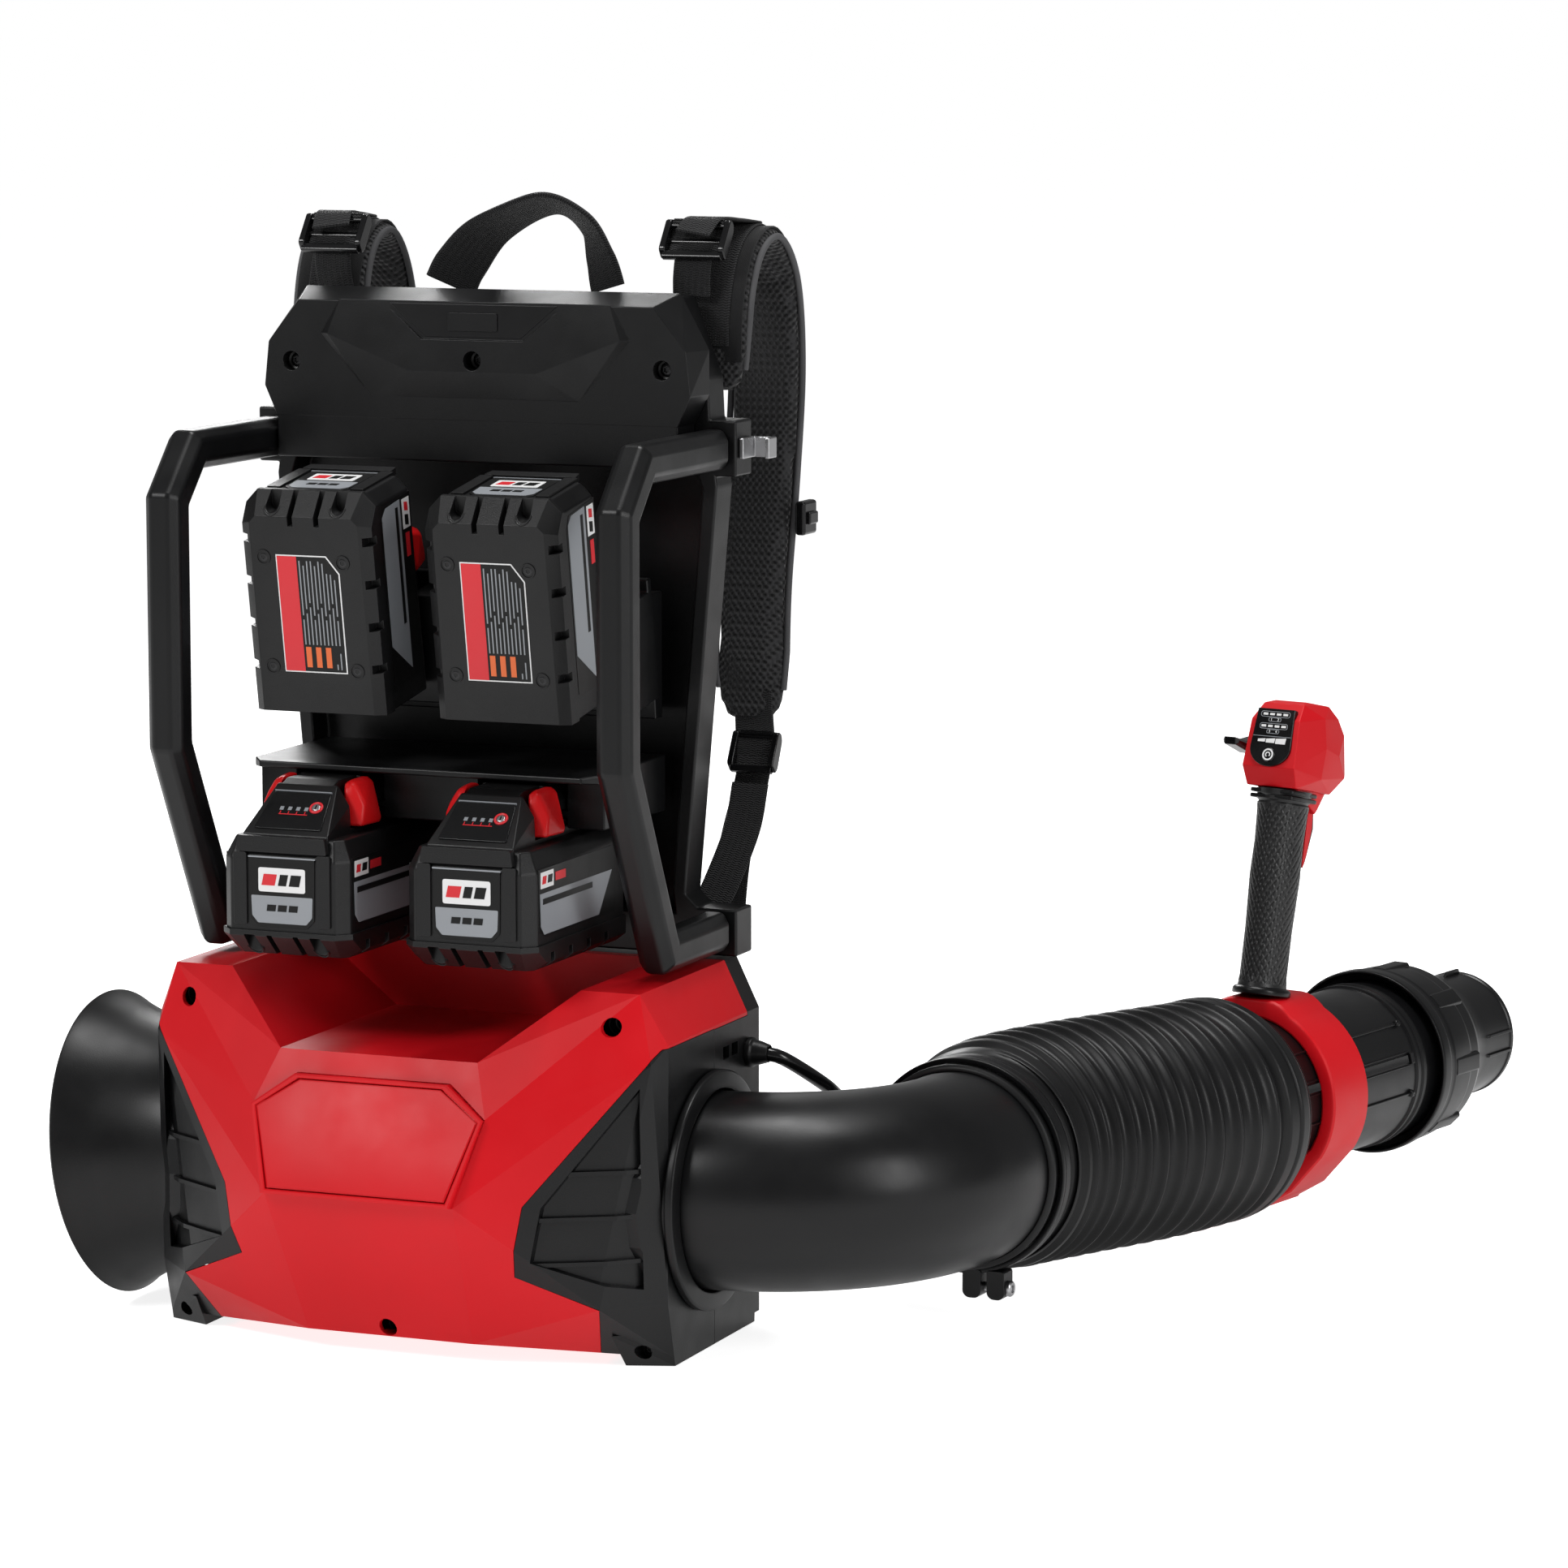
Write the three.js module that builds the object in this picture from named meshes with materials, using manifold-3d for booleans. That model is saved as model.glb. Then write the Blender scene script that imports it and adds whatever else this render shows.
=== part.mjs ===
// Battery backpack leaf blower: axial fan base, frame with four battery packs, harness, swivelling tube.
// Millimetres. +Z up, +X towards the air outlet, +Y towards the operator's back, z = 0 under the feet.
import * as THREE from 'three';
import { ConvexGeometry } from 'three/addons/geometries/ConvexGeometry.js';
import { mergeVertices } from 'three/addons/utils/BufferGeometryUtils.js';
import Module from 'manifold-3d';

const wasm = await Module();
wasm.setup();

// ---------- driving dimensions ----------
const DEG = Math.PI / 180;
const GAP = 0.4;                 // clearance between neighbouring mouldings
const WALL = 3.5;                // shell wall of the base
const FRAME_WALL = 9;            // wall of the flank frames

const AXIS_Y = -5;               // fan axis, along X
const AXIS_Z = 100;
const BELL_LEAN = 0.115;         // lean of the intake mouth, mm per mm of height
const DUCT_R = 70;               // bore of the fan duct
const TUBE_R = 62;               // outside of the outlet elbow
const TUBE_WALL = 3;

const BASE_HALF = 174;           // half width over the flanks
const BASE_REAR = 76;
const BASE_TOP = 234;
const VALLEY_Z = 192;            // floor of the valley between the shoulders
const VALLEY_REAR = 48;
const STRIPE_Z = 200;            // lower edge of the red shoulder stripe
const RED_REAR = 56;
const SEAM_Y = 2;                // seam between flank frame and rear housing

const PACK_W = 89;               // battery pack: width, length, body and tower height
const PACK_L = 140;
const PACK_BODY = 74;
const PACK_TOWER = 32;
const PACK_X = 62.6;             // pack centre from the middle
const LOWER_PACK = { y: 20, z: 249 };
const UPPER_PACK = { y: -66.3, z: 393, lean: 9.4 };

const PLATE_FRONT = 58;
const PLATE_REAR = 84;
const PLATE_TOP = 650;
const PANEL_FRONT = 30;

const BUMPER_X = 152;
const BUMPER_W = 25;

const ELBOW_BEND = 125;          // centreline radius of the elbow
const ELBOW_ANGLE = 86;
const ELBOW_START = 153;
const ELBOW_STRAIGHT = 170;      // x where the bend begins
const HOSE_R = 77;
const HOSE_CUFF_R = 66.5;
const HEADING = 77;              // direction of the straight tube, degrees from +X towards +Y
const HOSE_END = [385.7, 360];   // where the hose ends and the straight tube frame starts
const SWIVEL_R = 55.5;
const RING_NEAR = 45;            // clamp ring, distances along the straight tube
const RING_WIDTH = 48;
const COLLAR_NEAR = 202;
const COLLAR_FAR = 264;
const NOZZLE_END = 340;
const RING_R = 66;
const RING_TOP = 67.5;
const GRIP_LEAN = 12;

const ROUND = 24;                // facets of the large tubes

// ---------- colours ----------
const paint = (color, roughness, metalness = 0) => new THREE.MeshStandardMaterial({ color, roughness, metalness });
const RED = paint(0xd8141c, 0.45);
const BLACK = paint(0x17181a, 0.55);
const GLOSS = paint(0x101012, 0.25);
const RUBBER = paint(0x1c1c1e, 0.85);
const FABRIC = paint(0x151516, 0.95);
const STEEL = paint(0xb9bcc0, 0.3, 0.9);
const COPPER = paint(0xb06a3a, 0.4, 0.8);

// ---------- solids ----------
function solid(source) {
  const bare = source.clone();
  bare.deleteAttribute('normal');
  bare.deleteAttribute('uv');
  const merged = mergeVertices(bare, 1e-4);
  const corners = new Uint32Array(merged.index.array);
  const points = merged.attributes.position.array;
  if (signedVolume(points, corners) < 0) flip(corners);
  return new wasm.Manifold(new wasm.Mesh({ numProp: 3, vertProperties: points, triVerts: corners }));
}

function signedVolume(points, corners) {
  const [a, b, c] = [new THREE.Vector3(), new THREE.Vector3(), new THREE.Vector3()];
  let sum = 0;
  for (let i = 0; i < corners.length; i += 3) {
    a.fromArray(points, 3 * corners[i]);
    b.fromArray(points, 3 * corners[i + 1]);
    c.fromArray(points, 3 * corners[i + 2]);
    sum += a.dot(b.cross(c));
  }
  return sum;
}

function flip(corners) {
  for (let i = 0; i < corners.length; i += 3) {
    [corners[i], corners[i + 1]] = [corners[i + 1], corners[i]];
  }
}

function geometryOf(manifold) {
  const mesh = manifold.getMesh();
  const geometry = new THREE.BufferGeometry();
  geometry.setAttribute('position', new THREE.BufferAttribute(new Float32Array(mesh.vertProperties), 3));
  geometry.setIndex(new THREE.BufferAttribute(new Uint32Array(mesh.triVerts), 1));
  return geometry;
}

const join = (...parts) => geometryOf(parts.map(solid).reduce((sum, part) => sum.add(part)));
const cut = (base, ...tools) => geometryOf(tools.map(solid).reduce((rest, tool) => rest.subtract(tool), solid(base)));
const common = (a, b) => geometryOf(solid(a).intersect(solid(b)));

function box(x0, x1, y0, y1, z0, z1) {
  const size = new THREE.BoxGeometry(x1 - x0, y1 - y0, z1 - z0);
  return size.translate((x0 + x1) / 2, (y0 + y1) / 2, (z0 + z1) / 2);
}

const hull = (points) => new ConvexGeometry(points.map((point) => new THREE.Vector3(...point)));
const mirrored = (points) => [...points, ...points.map(([x, y, z]) => [-x, y, z])];
const mirror = (geometry) => geometry.clone().applyMatrix4(new THREE.Matrix4().makeScale(-1, 1, 1));
const bothSides = (outline) => [...outline, ...outline.map(([x, z]) => [-x, z]).reverse()];

function outlineShape(points) {
  return new THREE.Shape(points.map(([a, b]) => new THREE.Vector2(a, b)));
}

function prism(shape, depth, chamfer = 0) {
  return new THREE.ExtrudeGeometry(shape, {
    depth: depth - 2 * chamfer,
    bevelEnabled: chamfer > 0,
    bevelThickness: chamfer,
    bevelSize: chamfer,
    bevelOffset: -chamfer,
    bevelSegments: 1,
    curveSegments: 12,
  }).translate(0, 0, chamfer);
}

// Outline given as [x, z] points, running along Y.
function prismY(points, y0, y1, chamfer = 0) {
  const turn = new THREE.Matrix4().makeRotationX(Math.PI / 2);
  return prism(outlineShape(points), y1 - y0, chamfer).applyMatrix4(turn).translate(0, y1, 0);
}

// Outline given as [y, z] points, running along X.
function prismX(points, x0, x1, chamfer = 0) {
  const axes = [new THREE.Vector3(0, 1, 0), new THREE.Vector3(0, 0, 1), new THREE.Vector3(1, 0, 0)];
  const turn = new THREE.Matrix4().makeBasis(...axes);
  return prism(outlineShape(points), x1 - x0, chamfer).applyMatrix4(turn).translate(x0, 0, 0);
}

// Round solid about Y from [radius, y] points; the profile closes on itself or on the axis.
function turned(profile, segments = ROUND) {
  return new THREE.LatheGeometry(profile.map(([r, y]) => new THREE.Vector2(r, y)), segments);
}

// The same about the fan axis, which runs along X.
const turnedX = (profile, segments = ROUND) => turned(profile, segments).rotateZ(-Math.PI / 2).translate(0, AXIS_Y, AXIS_Z);

const pipe = (outer, inner, from, to) => [[inner, from], [outer, from], [outer, to], [inner, to], [inner, from]];
const rod = (radius, from, to) => [[0, from], [radius, from], [radius, to], [0, to]];

function ringShape(outer, inner, segments) {
  const shape = outlineShape(circlePoints(outer, segments));
  shape.holes.push(new THREE.Path(circlePoints(inner, segments).map(([a, b]) => new THREE.Vector2(a, b))));
  return shape;
}

function circlePoints(radius, segments) {
  const step = (2 * Math.PI) / segments;
  return Array.from({ length: segments }, (_, i) => [radius * Math.cos(i * step), radius * Math.sin(i * step)]);
}

function sweep(shape, curve, steps) {
  return new THREE.ExtrudeGeometry(shape, { steps, extrudePath: curve, bevelEnabled: false });
}

const spline = (points) => new THREE.CatmullRomCurve3(points.map((point) => new THREE.Vector3(...point)));

const build = new THREE.Group();

function place(name, geometry, material, parent = build) {
  const mesh = new THREE.Mesh(geometryOf(solid(geometry)), material);
  mesh.name = name;
  parent.add(mesh);
  return mesh;
}

// ---------- base ----------
const ENVELOPE = mirrored([
  [158.5, -78, BASE_TOP], [158.5, BASE_REAR, BASE_TOP], [123, -78, BASE_TOP], [67, -116, VALLEY_Z],
  [52, -121.5, 179], [78.6, -131, 160], [64, -147, 107],
  [169, -85, 192], [BASE_HALF, -70, 202], [BASE_HALF, BASE_REAR, 202],
  [101.4, -127, 107], [93.4, -117, 61.6], [142.3, -104, 41.6], [BASE_HALF, -72, 41.6],
  [56.5, -103, 12.6], [130.6, -53, 5.5], [BASE_HALF, -62, 5.5], [BASE_HALF, BASE_REAR, 5.5],
]);
const CENTRE = [0, -30, 115];

// The envelope with every face moved inwards by about the given wall.
function shrunk(wall) {
  const half = [BASE_HALF, 106, 110];
  const toCentre = (point) => point.map((value, i) => CENTRE[i] + (value - CENTRE[i]) * (1 - wall / half[i]));
  return hull(ENVELOPE.map(toCentre));
}

const VALLEY = [[130.6, 243], [67, VALLEY_Z]];
const valley = (drop) => prismY(bothSides(VALLEY.map(([x, z]) => [x + drop, z - drop])), -200, VALLEY_REAR + drop);

function baseShell(wall) {
  const outer = cut(hull(ENVELOPE), valley(0));
  const inner = cut(shrunk(wall), valley(wall));
  return cut(outer, inner);
}

// Everything outboard of the black flank's edge, seen from the front.
function flankRegion(grow, rear) {
  const edge = [
    [210, STRIPE_Z + grow], [172 - grow, STRIPE_Z + grow], [167 - grow, 192], [101.4 - grow, 107], [93.4 - grow, 61.6],
    [142.3 - grow, 41.6 - grow], [130.6 - grow, 5.5], [129 - grow, -10], [210, -10],
  ];
  return prismY(edge, -200, rear);
}

const redTop = (grow) => join(
  box(-200, 200, -90, RED_REAR + grow, STRIPE_Z - grow, 260),
  box(-150, 150, -90, RED_REAR + grow, VALLEY_Z - 8 - grow, 240),
);
const RED_BOTTOM_REAR = -30;

const sideHole = (radius, side) => turnedX(rod(radius, side > 0 ? 120 : -200, side > 0 ? 200 : -120));

function screwHole(x, y, z) {
  return turned(rod(6, -20, 20), 16).translate(x, y, z);
}

function badge() {
  const rim = mirrored([[51.8, -124.5, 179], [78.6, -133.5, 160], [64, -149.5, 108]]);
  return hull([...rim, ...rim.map(([x, y, z]) => [x, y + 7, z])]);
}

function frontHousing() {
  const region = join(redTop(0), box(-200, 200, -200, RED_BOTTOM_REAR, -10, 260));
  const red = join(common(baseShell(WALL), region), badge());
  const right = flankRegion(GAP, SEAM_Y + GAP);
  return cut(red, right, mirror(right),
    screwHole(144.4, -90, 214.5), screwHole(-144.4, -90, 214.5), screwHole(0, -107, 19));
}

const FOOT = [
  [145.3, -70.8, 0], [BASE_HALF, -60.7, 0], [145.3, 68, 0], [BASE_HALF, 68, 0],
  [143, -88, 22], [BASE_HALF, -66, 22], [143, 70, 22], [BASE_HALF, 70, 22],
];

function rearHousing() {
  const flank = flankRegion(GAP, SEAM_Y + GAP);
  const front = join(redTop(GAP), box(-200, 200, -200, RED_BOTTOM_REAR + GAP, -10, 260));
  const shell = cut(baseShell(WALL), front, flank, mirror(flank));
  const foot = cut(hull(FOOT), box(100, 200, -200, SEAM_Y + GAP, -10, 60));
  const restPad = box(-70, 70, -8, 64, 0, 8);
  return cut(join(shell, foot, mirror(foot), restPad), sideHole(77, -1), sideHole(72.4, 1));
}

function flankFrame(holeRadius) {
  const wall = cut(hull(ENVELOPE), shrunk(FRAME_WALL));
  const panel = common(wall, flankRegion(0, SEAM_Y));
  const foot = cut(hull(FOOT), box(100, 200, SEAM_Y, 200, -10, 60));
  const pocketEdge = [[163, 178], [111, 106], [105, 72], [146, 56], [163, 52]];
  const pocket = cut(prismY(pocketEdge, -200, -30), shrunk(5), turnedX(rod(84, 100, 200)));
  const ribBand = common(cut(shrunk(2), shrunk(7)), flankRegion(-8, -60));
  const ribs = [126, 98, 70].map((z) => common(
    cut(box(100, 164, -140, -60, z - 1.3, z + 1.3), turnedX(rod(80, 90, 200))),
    ribBand,
  ));
  const footHole = turned(rod(5, -90, -62), 12).translate(158, 0, 10);
  const body = cut(join(cut(join(panel, foot), pocket), ...ribs), footHole);
  return cut(body, turnedX(rod(holeRadius, 100, 200)));
}

function ventSlots(geometry) {
  const slots = [22, 36].map((y) => box(160, 190, y - 5, y + 5, 178, 186));
  return cut(geometry, ...slots);
}

function intakeBell() {
  const flare = [[75, -165], [75, -175], [78.5, -192], [85, -211], [92, -225], [96.5, -232]];
  const inside = [...flare].reverse().map(([r, x]) => [r - TUBE_WALL, x]);
  const horn = turnedX([...flare, ...inside, flare[0]], 36);
  const ribs = [128, 100, 72].map((z) => cut(
    box(-208, -176, -100, -60, z - 1.2, z + 1.2),
    turnedX(rod(74, -215, -170)),
  ));
  const ribEnvelope = turnedX([[0, -176], [78.6, -177], [85.4, -207], [0, -208]], 36);
  return leaned(join(horn, ...ribs.map((rib) => common(rib, ribEnvelope))));
}

// The mouth leans outwards at the top: x shifts with height, from nothing at the throat.
function leaned(horn) {
  const position = horn.attributes.position;
  for (let i = 0; i < position.count; i += 1) {
    const out = Math.max(0, (-176 - position.getX(i)) / 56);
    position.setX(i, position.getX(i) - out * (4 + BELL_LEAN * (position.getZ(i) - AXIS_Z)));
  }
  return horn;
}

function intakeGuard() {
  const rings = [24, 46, DUCT_R - 2.2].map((r) => turnedX(pipe(r + 1.2, r - 1.2, -160, -157), 20));
  const blade = box(-1, 1, 0, DUCT_R - 1.5, -160, -157);
  const spokes = [0, 1, 2, 3, 4, 5, 6, 7].map((i) => blade.clone().rotateZ(i * 45 * DEG));
  const alongX = (part) => part.rotateX(-90 * DEG).rotateZ(-90 * DEG).translate(0, AXIS_Y, AXIS_Z);
  return join(...rings, ...spokes.map(alongX));
}

const MOTOR_R = 30;
const MOTOR_FROM = -22;
const MOTOR_TO = 62;

// Straight duct with a motor pod on seven vanes; the bore narrows towards the outlet.
function fanDuct() {
  const outside = [[73, -163], [73, -40], [65, 60], [65, 150]];
  const inside = [[62, 150], [62, 60], [DUCT_R, -40], [DUCT_R, -163]];
  const duct = turnedX([...outside, ...inside, outside[0]]);
  const nose = [[MOTOR_R - 3, MOTOR_FROM], [MOTOR_R, MOTOR_FROM], [MOTOR_R, 40], [18, MOTOR_TO + 22], [0, MOTOR_TO + 30]];
  const pod = turnedX([...nose, [0, MOTOR_TO], [MOTOR_R - 3, MOTOR_TO - 20], nose[0]], 24);
  const vane = box(-1.5, 1.5, MOTOR_R - 1, 67, -10, 40).rotateX(-90 * DEG).rotateZ(-90 * DEG);
  const vanes = Array.from({ length: 7 }, (_, i) => vane.clone().rotateX((i * 360 / 7) * DEG).translate(0, AXIS_Y, AXIS_Z));
  return join(duct, pod, ...vanes);
}

function impeller() {
  const hub = turnedX([[5.3, -36], [28, -36], [28, -70], [20, -82], [0, -88], [0, -60], [5.3, -60], [5.3, -36]], 24);
  const blade = box(-1.3, 1.3, 25, DUCT_R - 1.5, -16, 16).rotateY(38 * DEG);
  const blades = Array.from({ length: 9 }, (_, i) => blade.clone().rotateX(-90 * DEG).rotateZ(-90 * DEG)
    .translate(-53, 0, 0).rotateX(i * 40 * DEG).translate(0, AXIS_Y, AXIS_Z));
  const limit = turnedX(rod(DUCT_R - 1.2, -78, -37), 48);
  return join(hub, ...blades.map((part) => common(part, limit)));
}

place('front_housing', frontHousing(), RED);
place('rear_housing', ventSlots(rearHousing()), BLACK);
place('side_frame_right', flankFrame(72.4), BLACK);
place('side_frame_left', mirror(flankFrame(77)), BLACK);
place('intake_bell', intakeBell(), BLACK);
place('intake_guard', intakeGuard(), BLACK);
place('fan_duct', fanDuct(), BLACK);
place('motor_stator', turnedX(pipe(MOTOR_R - 3.4, 9, -8, 36), 24), COPPER);
place('motor_shaft', turnedX(rod(5, -59.6, 44), 16), STEEL);
place('impeller', impeller(), BLACK);
place('outlet_collar', turnedX([[65.4, 140], [71.8, 140], [71.8, 174.4], [75, 174.6], [75, 180], [TUBE_R + 1.3, 180],
  [TUBE_R + 0.6, 151], [65.4, 151], [65.4, 140]]), BLACK);

// ---------- frame ----------
function backPlate() {
  const half = [[166, BASE_TOP + 2], [166, 240], [131, 274], [153, 532], [149, 560], [147, 600], [128, PLATE_TOP]];
  const plate = prismY(bothSides(half), PLATE_FRONT, PLATE_REAR);
  const pocketHalf = [[124, 262], [122, 276], [143, 530], [138, 545]];
  const pocket = prismY(bothSides(pocketHalf), PLATE_FRONT - 1, PLATE_REAR - 5);
  const sockets = [-1, 1].map((side) => box(side * BUMPER_X - 14, side * BUMPER_X + 14, PLATE_FRONT, PLATE_REAR, 539, 574));
  const feet = [-1, 1].map((side) => box(side * BUMPER_X - 14, side * BUMPER_X + 14, PLATE_FRONT, PLATE_REAR, BASE_TOP + 2, 266));
  return cut(join(plate, ...sockets, ...feet), pocket);
}

// Faceted cover in front of the plate's top: bevelled top strip, two stepped trapezoids, three screw holes.
function frontPanel() {
  const bottomZ = 545;
  const half = [[138.5, 571], [147, 590], [144, 618], [122, 645], [118, 645]];
  const rearHalf = [[139, 571], [149, 590], [149, 618], [130, 653], [120, 653]];
  const face = bothSides(half).map(([x, z]) => [x, PANEL_FRONT, z]);
  const back = bothSides(rearHalf).map(([x, z]) => [x, PLATE_FRONT - GAP, z]);
  const skirt = box(-138.5, 138.5, PANEL_FRONT, PLATE_FRONT - GAP, bottomZ, 575);
  const shell = join(hull([...face, ...back]), skirt);
  const hollow = prismY(bothSides([[132, bottomZ + 5], [138, 592], [136, 616], [116, 640]]), PANEL_FRONT + 4, PLATE_FRONT + 2);
  const trapezoid = (low, lowHalf, high, highHalf, depth) => hull(mirrored([
    [lowHalf, PANEL_FRONT, low], [highHalf, PANEL_FRONT, high],
    [lowHalf - 4, PANEL_FRONT - depth, low + 3], [highHalf - 4, PANEL_FRONT - depth, high - 3],
    [lowHalf, PANEL_FRONT + 2, low], [highHalf, PANEL_FRONT + 2, high],
  ]));
  const step = trapezoid(584, 70, 617, 104, 3.5);
  const emblem = box(-22, 22, PANEL_FRONT - 1.2, PANEL_FRONT + 3, 628, 640);
  const holes = [[-127.9, 606], [0, 609], [127.9, 606]].map(([x, z]) => turned(rod(6, PANEL_FRONT - 10, PANEL_FRONT + 10), 16)
    .translate(x, 0, z));
  return cut(join(cut(shell, hollow), step, emblem), ...holes);
}

// C-shaped side handle: one outline of even width, chamfered all round.
function bumper() {
  const centre = [[57.6, 556], [-66, 556], [-94, 526], [-94, 374], [-32, 252], [57.6, 252]];
  const half = BUMPER_W / 2;
  const offset = (side) => centre.map((point, i) => offsetCorner(centre[i - 1], point, centre[i + 1], side * half));
  const outline = [...offset(1), ...offset(-1).reverse()];
  const shape = outlineShape(outline);
  const axes = [new THREE.Vector3(0, 1, 0), new THREE.Vector3(0, 0, 1), new THREE.Vector3(1, 0, 0)];
  const bar = prism(shape, 24, 6).applyMatrix4(new THREE.Matrix4().makeBasis(...axes)).translate(BUMPER_X - 12, 0, 0);
  return bar;
}

// Point offset from a corner of a line so that the strip keeps its width.
function offsetCorner(before, point, after, distance) {
  const toward = (a, b) => new THREE.Vector2(b[0] - a[0], b[1] - a[1]).normalize();
  const first = before ? toward(before, point) : toward(point, after);
  const second = after ? toward(point, after) : first;
  const normal = new THREE.Vector2(-first.y - second.y, first.x + second.x).normalize();
  const reach = distance / normal.dot(new THREE.Vector2(-first.y, first.x));
  return [point[0] + normal.x * reach, point[1] + normal.y * reach];
}

// Pack in its own frame: front face at y = -length, rails up, underside at z = 0.
function packBody() {
  const w = PACK_W / 2;
  const section = [[w - 4, 0], [w, 5], [w, 16], [w - 1.5, 18], [w - 1.5, PACK_BODY - 8], [w - 8, PACK_BODY]];
  const block = prismY(bothSides(section), -PACK_L, 0, 2.5);
  const towerTop = PACK_BODY + PACK_TOWER;
  const tower = hull([
    ...mirrored([[29, -PACK_L + 4, PACK_BODY - 3], [28, -3, PACK_BODY - 3]]),
    ...mirrored([[29, -PACK_L + 5, PACK_BODY + 2], [20.5, -PACK_L + 36, towerTop - 3], [19, -PACK_L + 44, towerTop]]),
    ...mirrored([[28, -3, towerTop - 6], [24, -3, towerTop], [28, -PACK_L + 44, towerTop - 12]]),
  ]);
  const railGrooves = [-1, 1].map((side) => box(side * 26 - 3, side * 26 + 3, -62, 5, PACK_BODY + 10, PACK_BODY + 16));
  const slots = [-26, -9, 9, 26].map((x) => box(x - 2, x + 2, -PACK_L - 5, -PACK_L + 4, -2, 16));
  const buttonSeats = [-1, 1].map((side) => box(side * 31 - 13, side * 31 + 13, -PACK_L + 38, -PACK_L + 68,
    PACK_BODY + 3, towerTop + 5));
  return cut(join(block, tower), ...railGrooves, ...slots, ...buttonSeats);
}

function releaseButton() {
  const [from, to] = [-PACK_L + 39, -PACK_L + 67];
  const low = PACK_BODY + 4;
  return hull([[21.6, from, low], [21.6, to, low], [21.6, from + 4, low + 28], [21.6, to, low + 28],
    [35, from + 2, low], [37, to, low], [35, from + 6, low + 14], [30, to, low + 28], [28, from + 8, low + 26]]);
}

// Receiver in the pack's frame: a roof over the rails and skirts beside each tower.
function receiver(rear) {
  const roof = PACK_BODY + PACK_TOWER + 1.5;
  const parts = [box(-118, 118, -66, rear, roof, roof + 6), box(-118, 118, 2, rear, PACK_BODY + 4, roof + 1)];
  parts.push(box(-33, 33, -58, 3, PACK_BODY + 4, roof + 1));
  for (const side of [-1, 1]) {
    parts.push(box(Math.min(side * 92.5, side * 118), Math.max(side * 92.5, side * 118), -58, 3, PACK_BODY + 4, roof + 1));
    for (const tower of [-1, 1]) {
      const x = side * PACK_X + tower * 27;
      parts.push(box(x - 3.4, x + 3.4, -58, 3, PACK_BODY + 11, PACK_BODY + 15));
    }
  }
  return join(...parts);
}

function lowerMount() {
  const body = receiver(PLATE_FRONT - GAP - LOWER_PACK.y).translate(0, LOWER_PACK.y, LOWER_PACK.z);
  const shelfZ = LOWER_PACK.z + PACK_BODY + PACK_TOWER + 1.5;
  const lip = hull(mirrored([[118, -46, shelfZ], [118, -46, shelfZ + 6], [110, -56, shelfZ + 1], [110, -56, shelfZ + 5]]));
  return join(body, lip);
}

const upperPose = new THREE.Matrix4().makeRotationX(-(90 - UPPER_PACK.lean) * DEG).setPosition(0, UPPER_PACK.y, UPPER_PACK.z);

function upperMount() {
  const tilted = receiver(12).applyMatrix4(upperPose);
  const wedge = hull(mirrored([[116, 47, 386], [116, 57.6, 386], [116, 38, 466], [116, 57.6, 466]]));
  const limit = box(-200, 200, -200, PLATE_FRONT - GAP, 374, 540);
  return common(join(tilted, wedge), limit);
}

place('back_plate', backPlate(), BLACK);
place('front_panel', frontPanel(), BLACK);
place('lower_mount', lowerMount(), BLACK);
place('upper_mount', upperMount(), BLACK);
place('bumper_right', bumper(), BLACK);
place('bumper_left', mirror(bumper()), BLACK);
const HOOK = [[0, 0], [3, 0], [3, 18], [14, 18], [14, 8], [17, 8], [17, 21], [0, 21]];
place('hose_hook', prism(outlineShape(HOOK), 13).translate(BUMPER_X + 14 + GAP, 62, 550), STEEL);

for (const [row, pose] of [['lower', new THREE.Matrix4().makeTranslation(0, LOWER_PACK.y, LOWER_PACK.z)], ['upper', upperPose]]) {
  for (const [side, x] of [['left', -PACK_X], ['right', PACK_X]]) {
    const group = new THREE.Group();
    group.applyMatrix4(pose);
    build.add(group);
    place(`battery_${row}_${side}`, packBody().translate(x, 0, 0), BLACK, group);
    place(`release_${row}_${side}_outer`, releaseButton().translate(x, 0, 0), RED, group);
    place(`release_${row}_${side}_inner`, mirror(releaseButton()).translate(x, 0, 0), RED, group);
  }
}

// ---------- harness ----------
function padSolid() {
  const half = [[84, 292], [104, 306], [104, 560], [100, 638], [70, 644]];
  return prismY(bothSides(half), PLATE_REAR + GAP, 111, 8);
}

const STRAP_PATH = [[134, 98, 588], [134, 100, 640], [135, 116, 675], [136, 146, 684], [137, 172, 656], [136, 183, 600],
  [132, 184, 530], [131, 172, 460], [136, 156, 404], [141, 146, 376]];
const WEB_PATH = [[145.5, 131, 336], [145, 118, 308], [139, 98, 276], [135, 87, 262]];

function band(width, thickness, path, steps) {
  const [w, t] = [width / 2, thickness / 2];
  return sweep(outlineShape([[-w, -t], [w, -t], [w, t], [-w, t]]), spline(path), steps);
}

function carryHandle() {
  const path = [[-57, 98, 652], [-50, 98, 668], [-30, 98, 694], [6, 99, 711], [36, 98, 696], [50, 98, 672], [57, 98, 652]];
  return band(38, 4, path, 24);
}

function buckle(width) {
  const frame = box(-width / 2, width / 2, -4, 4, -13, 13);
  const windows = [box(-width / 2 + 5, width / 2 - 5, -9, 9, 2, 8), box(-width / 2 + 5, width / 2 - 5, -9, 9, -8, -2)];
  return cut(frame, ...windows);
}

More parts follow.
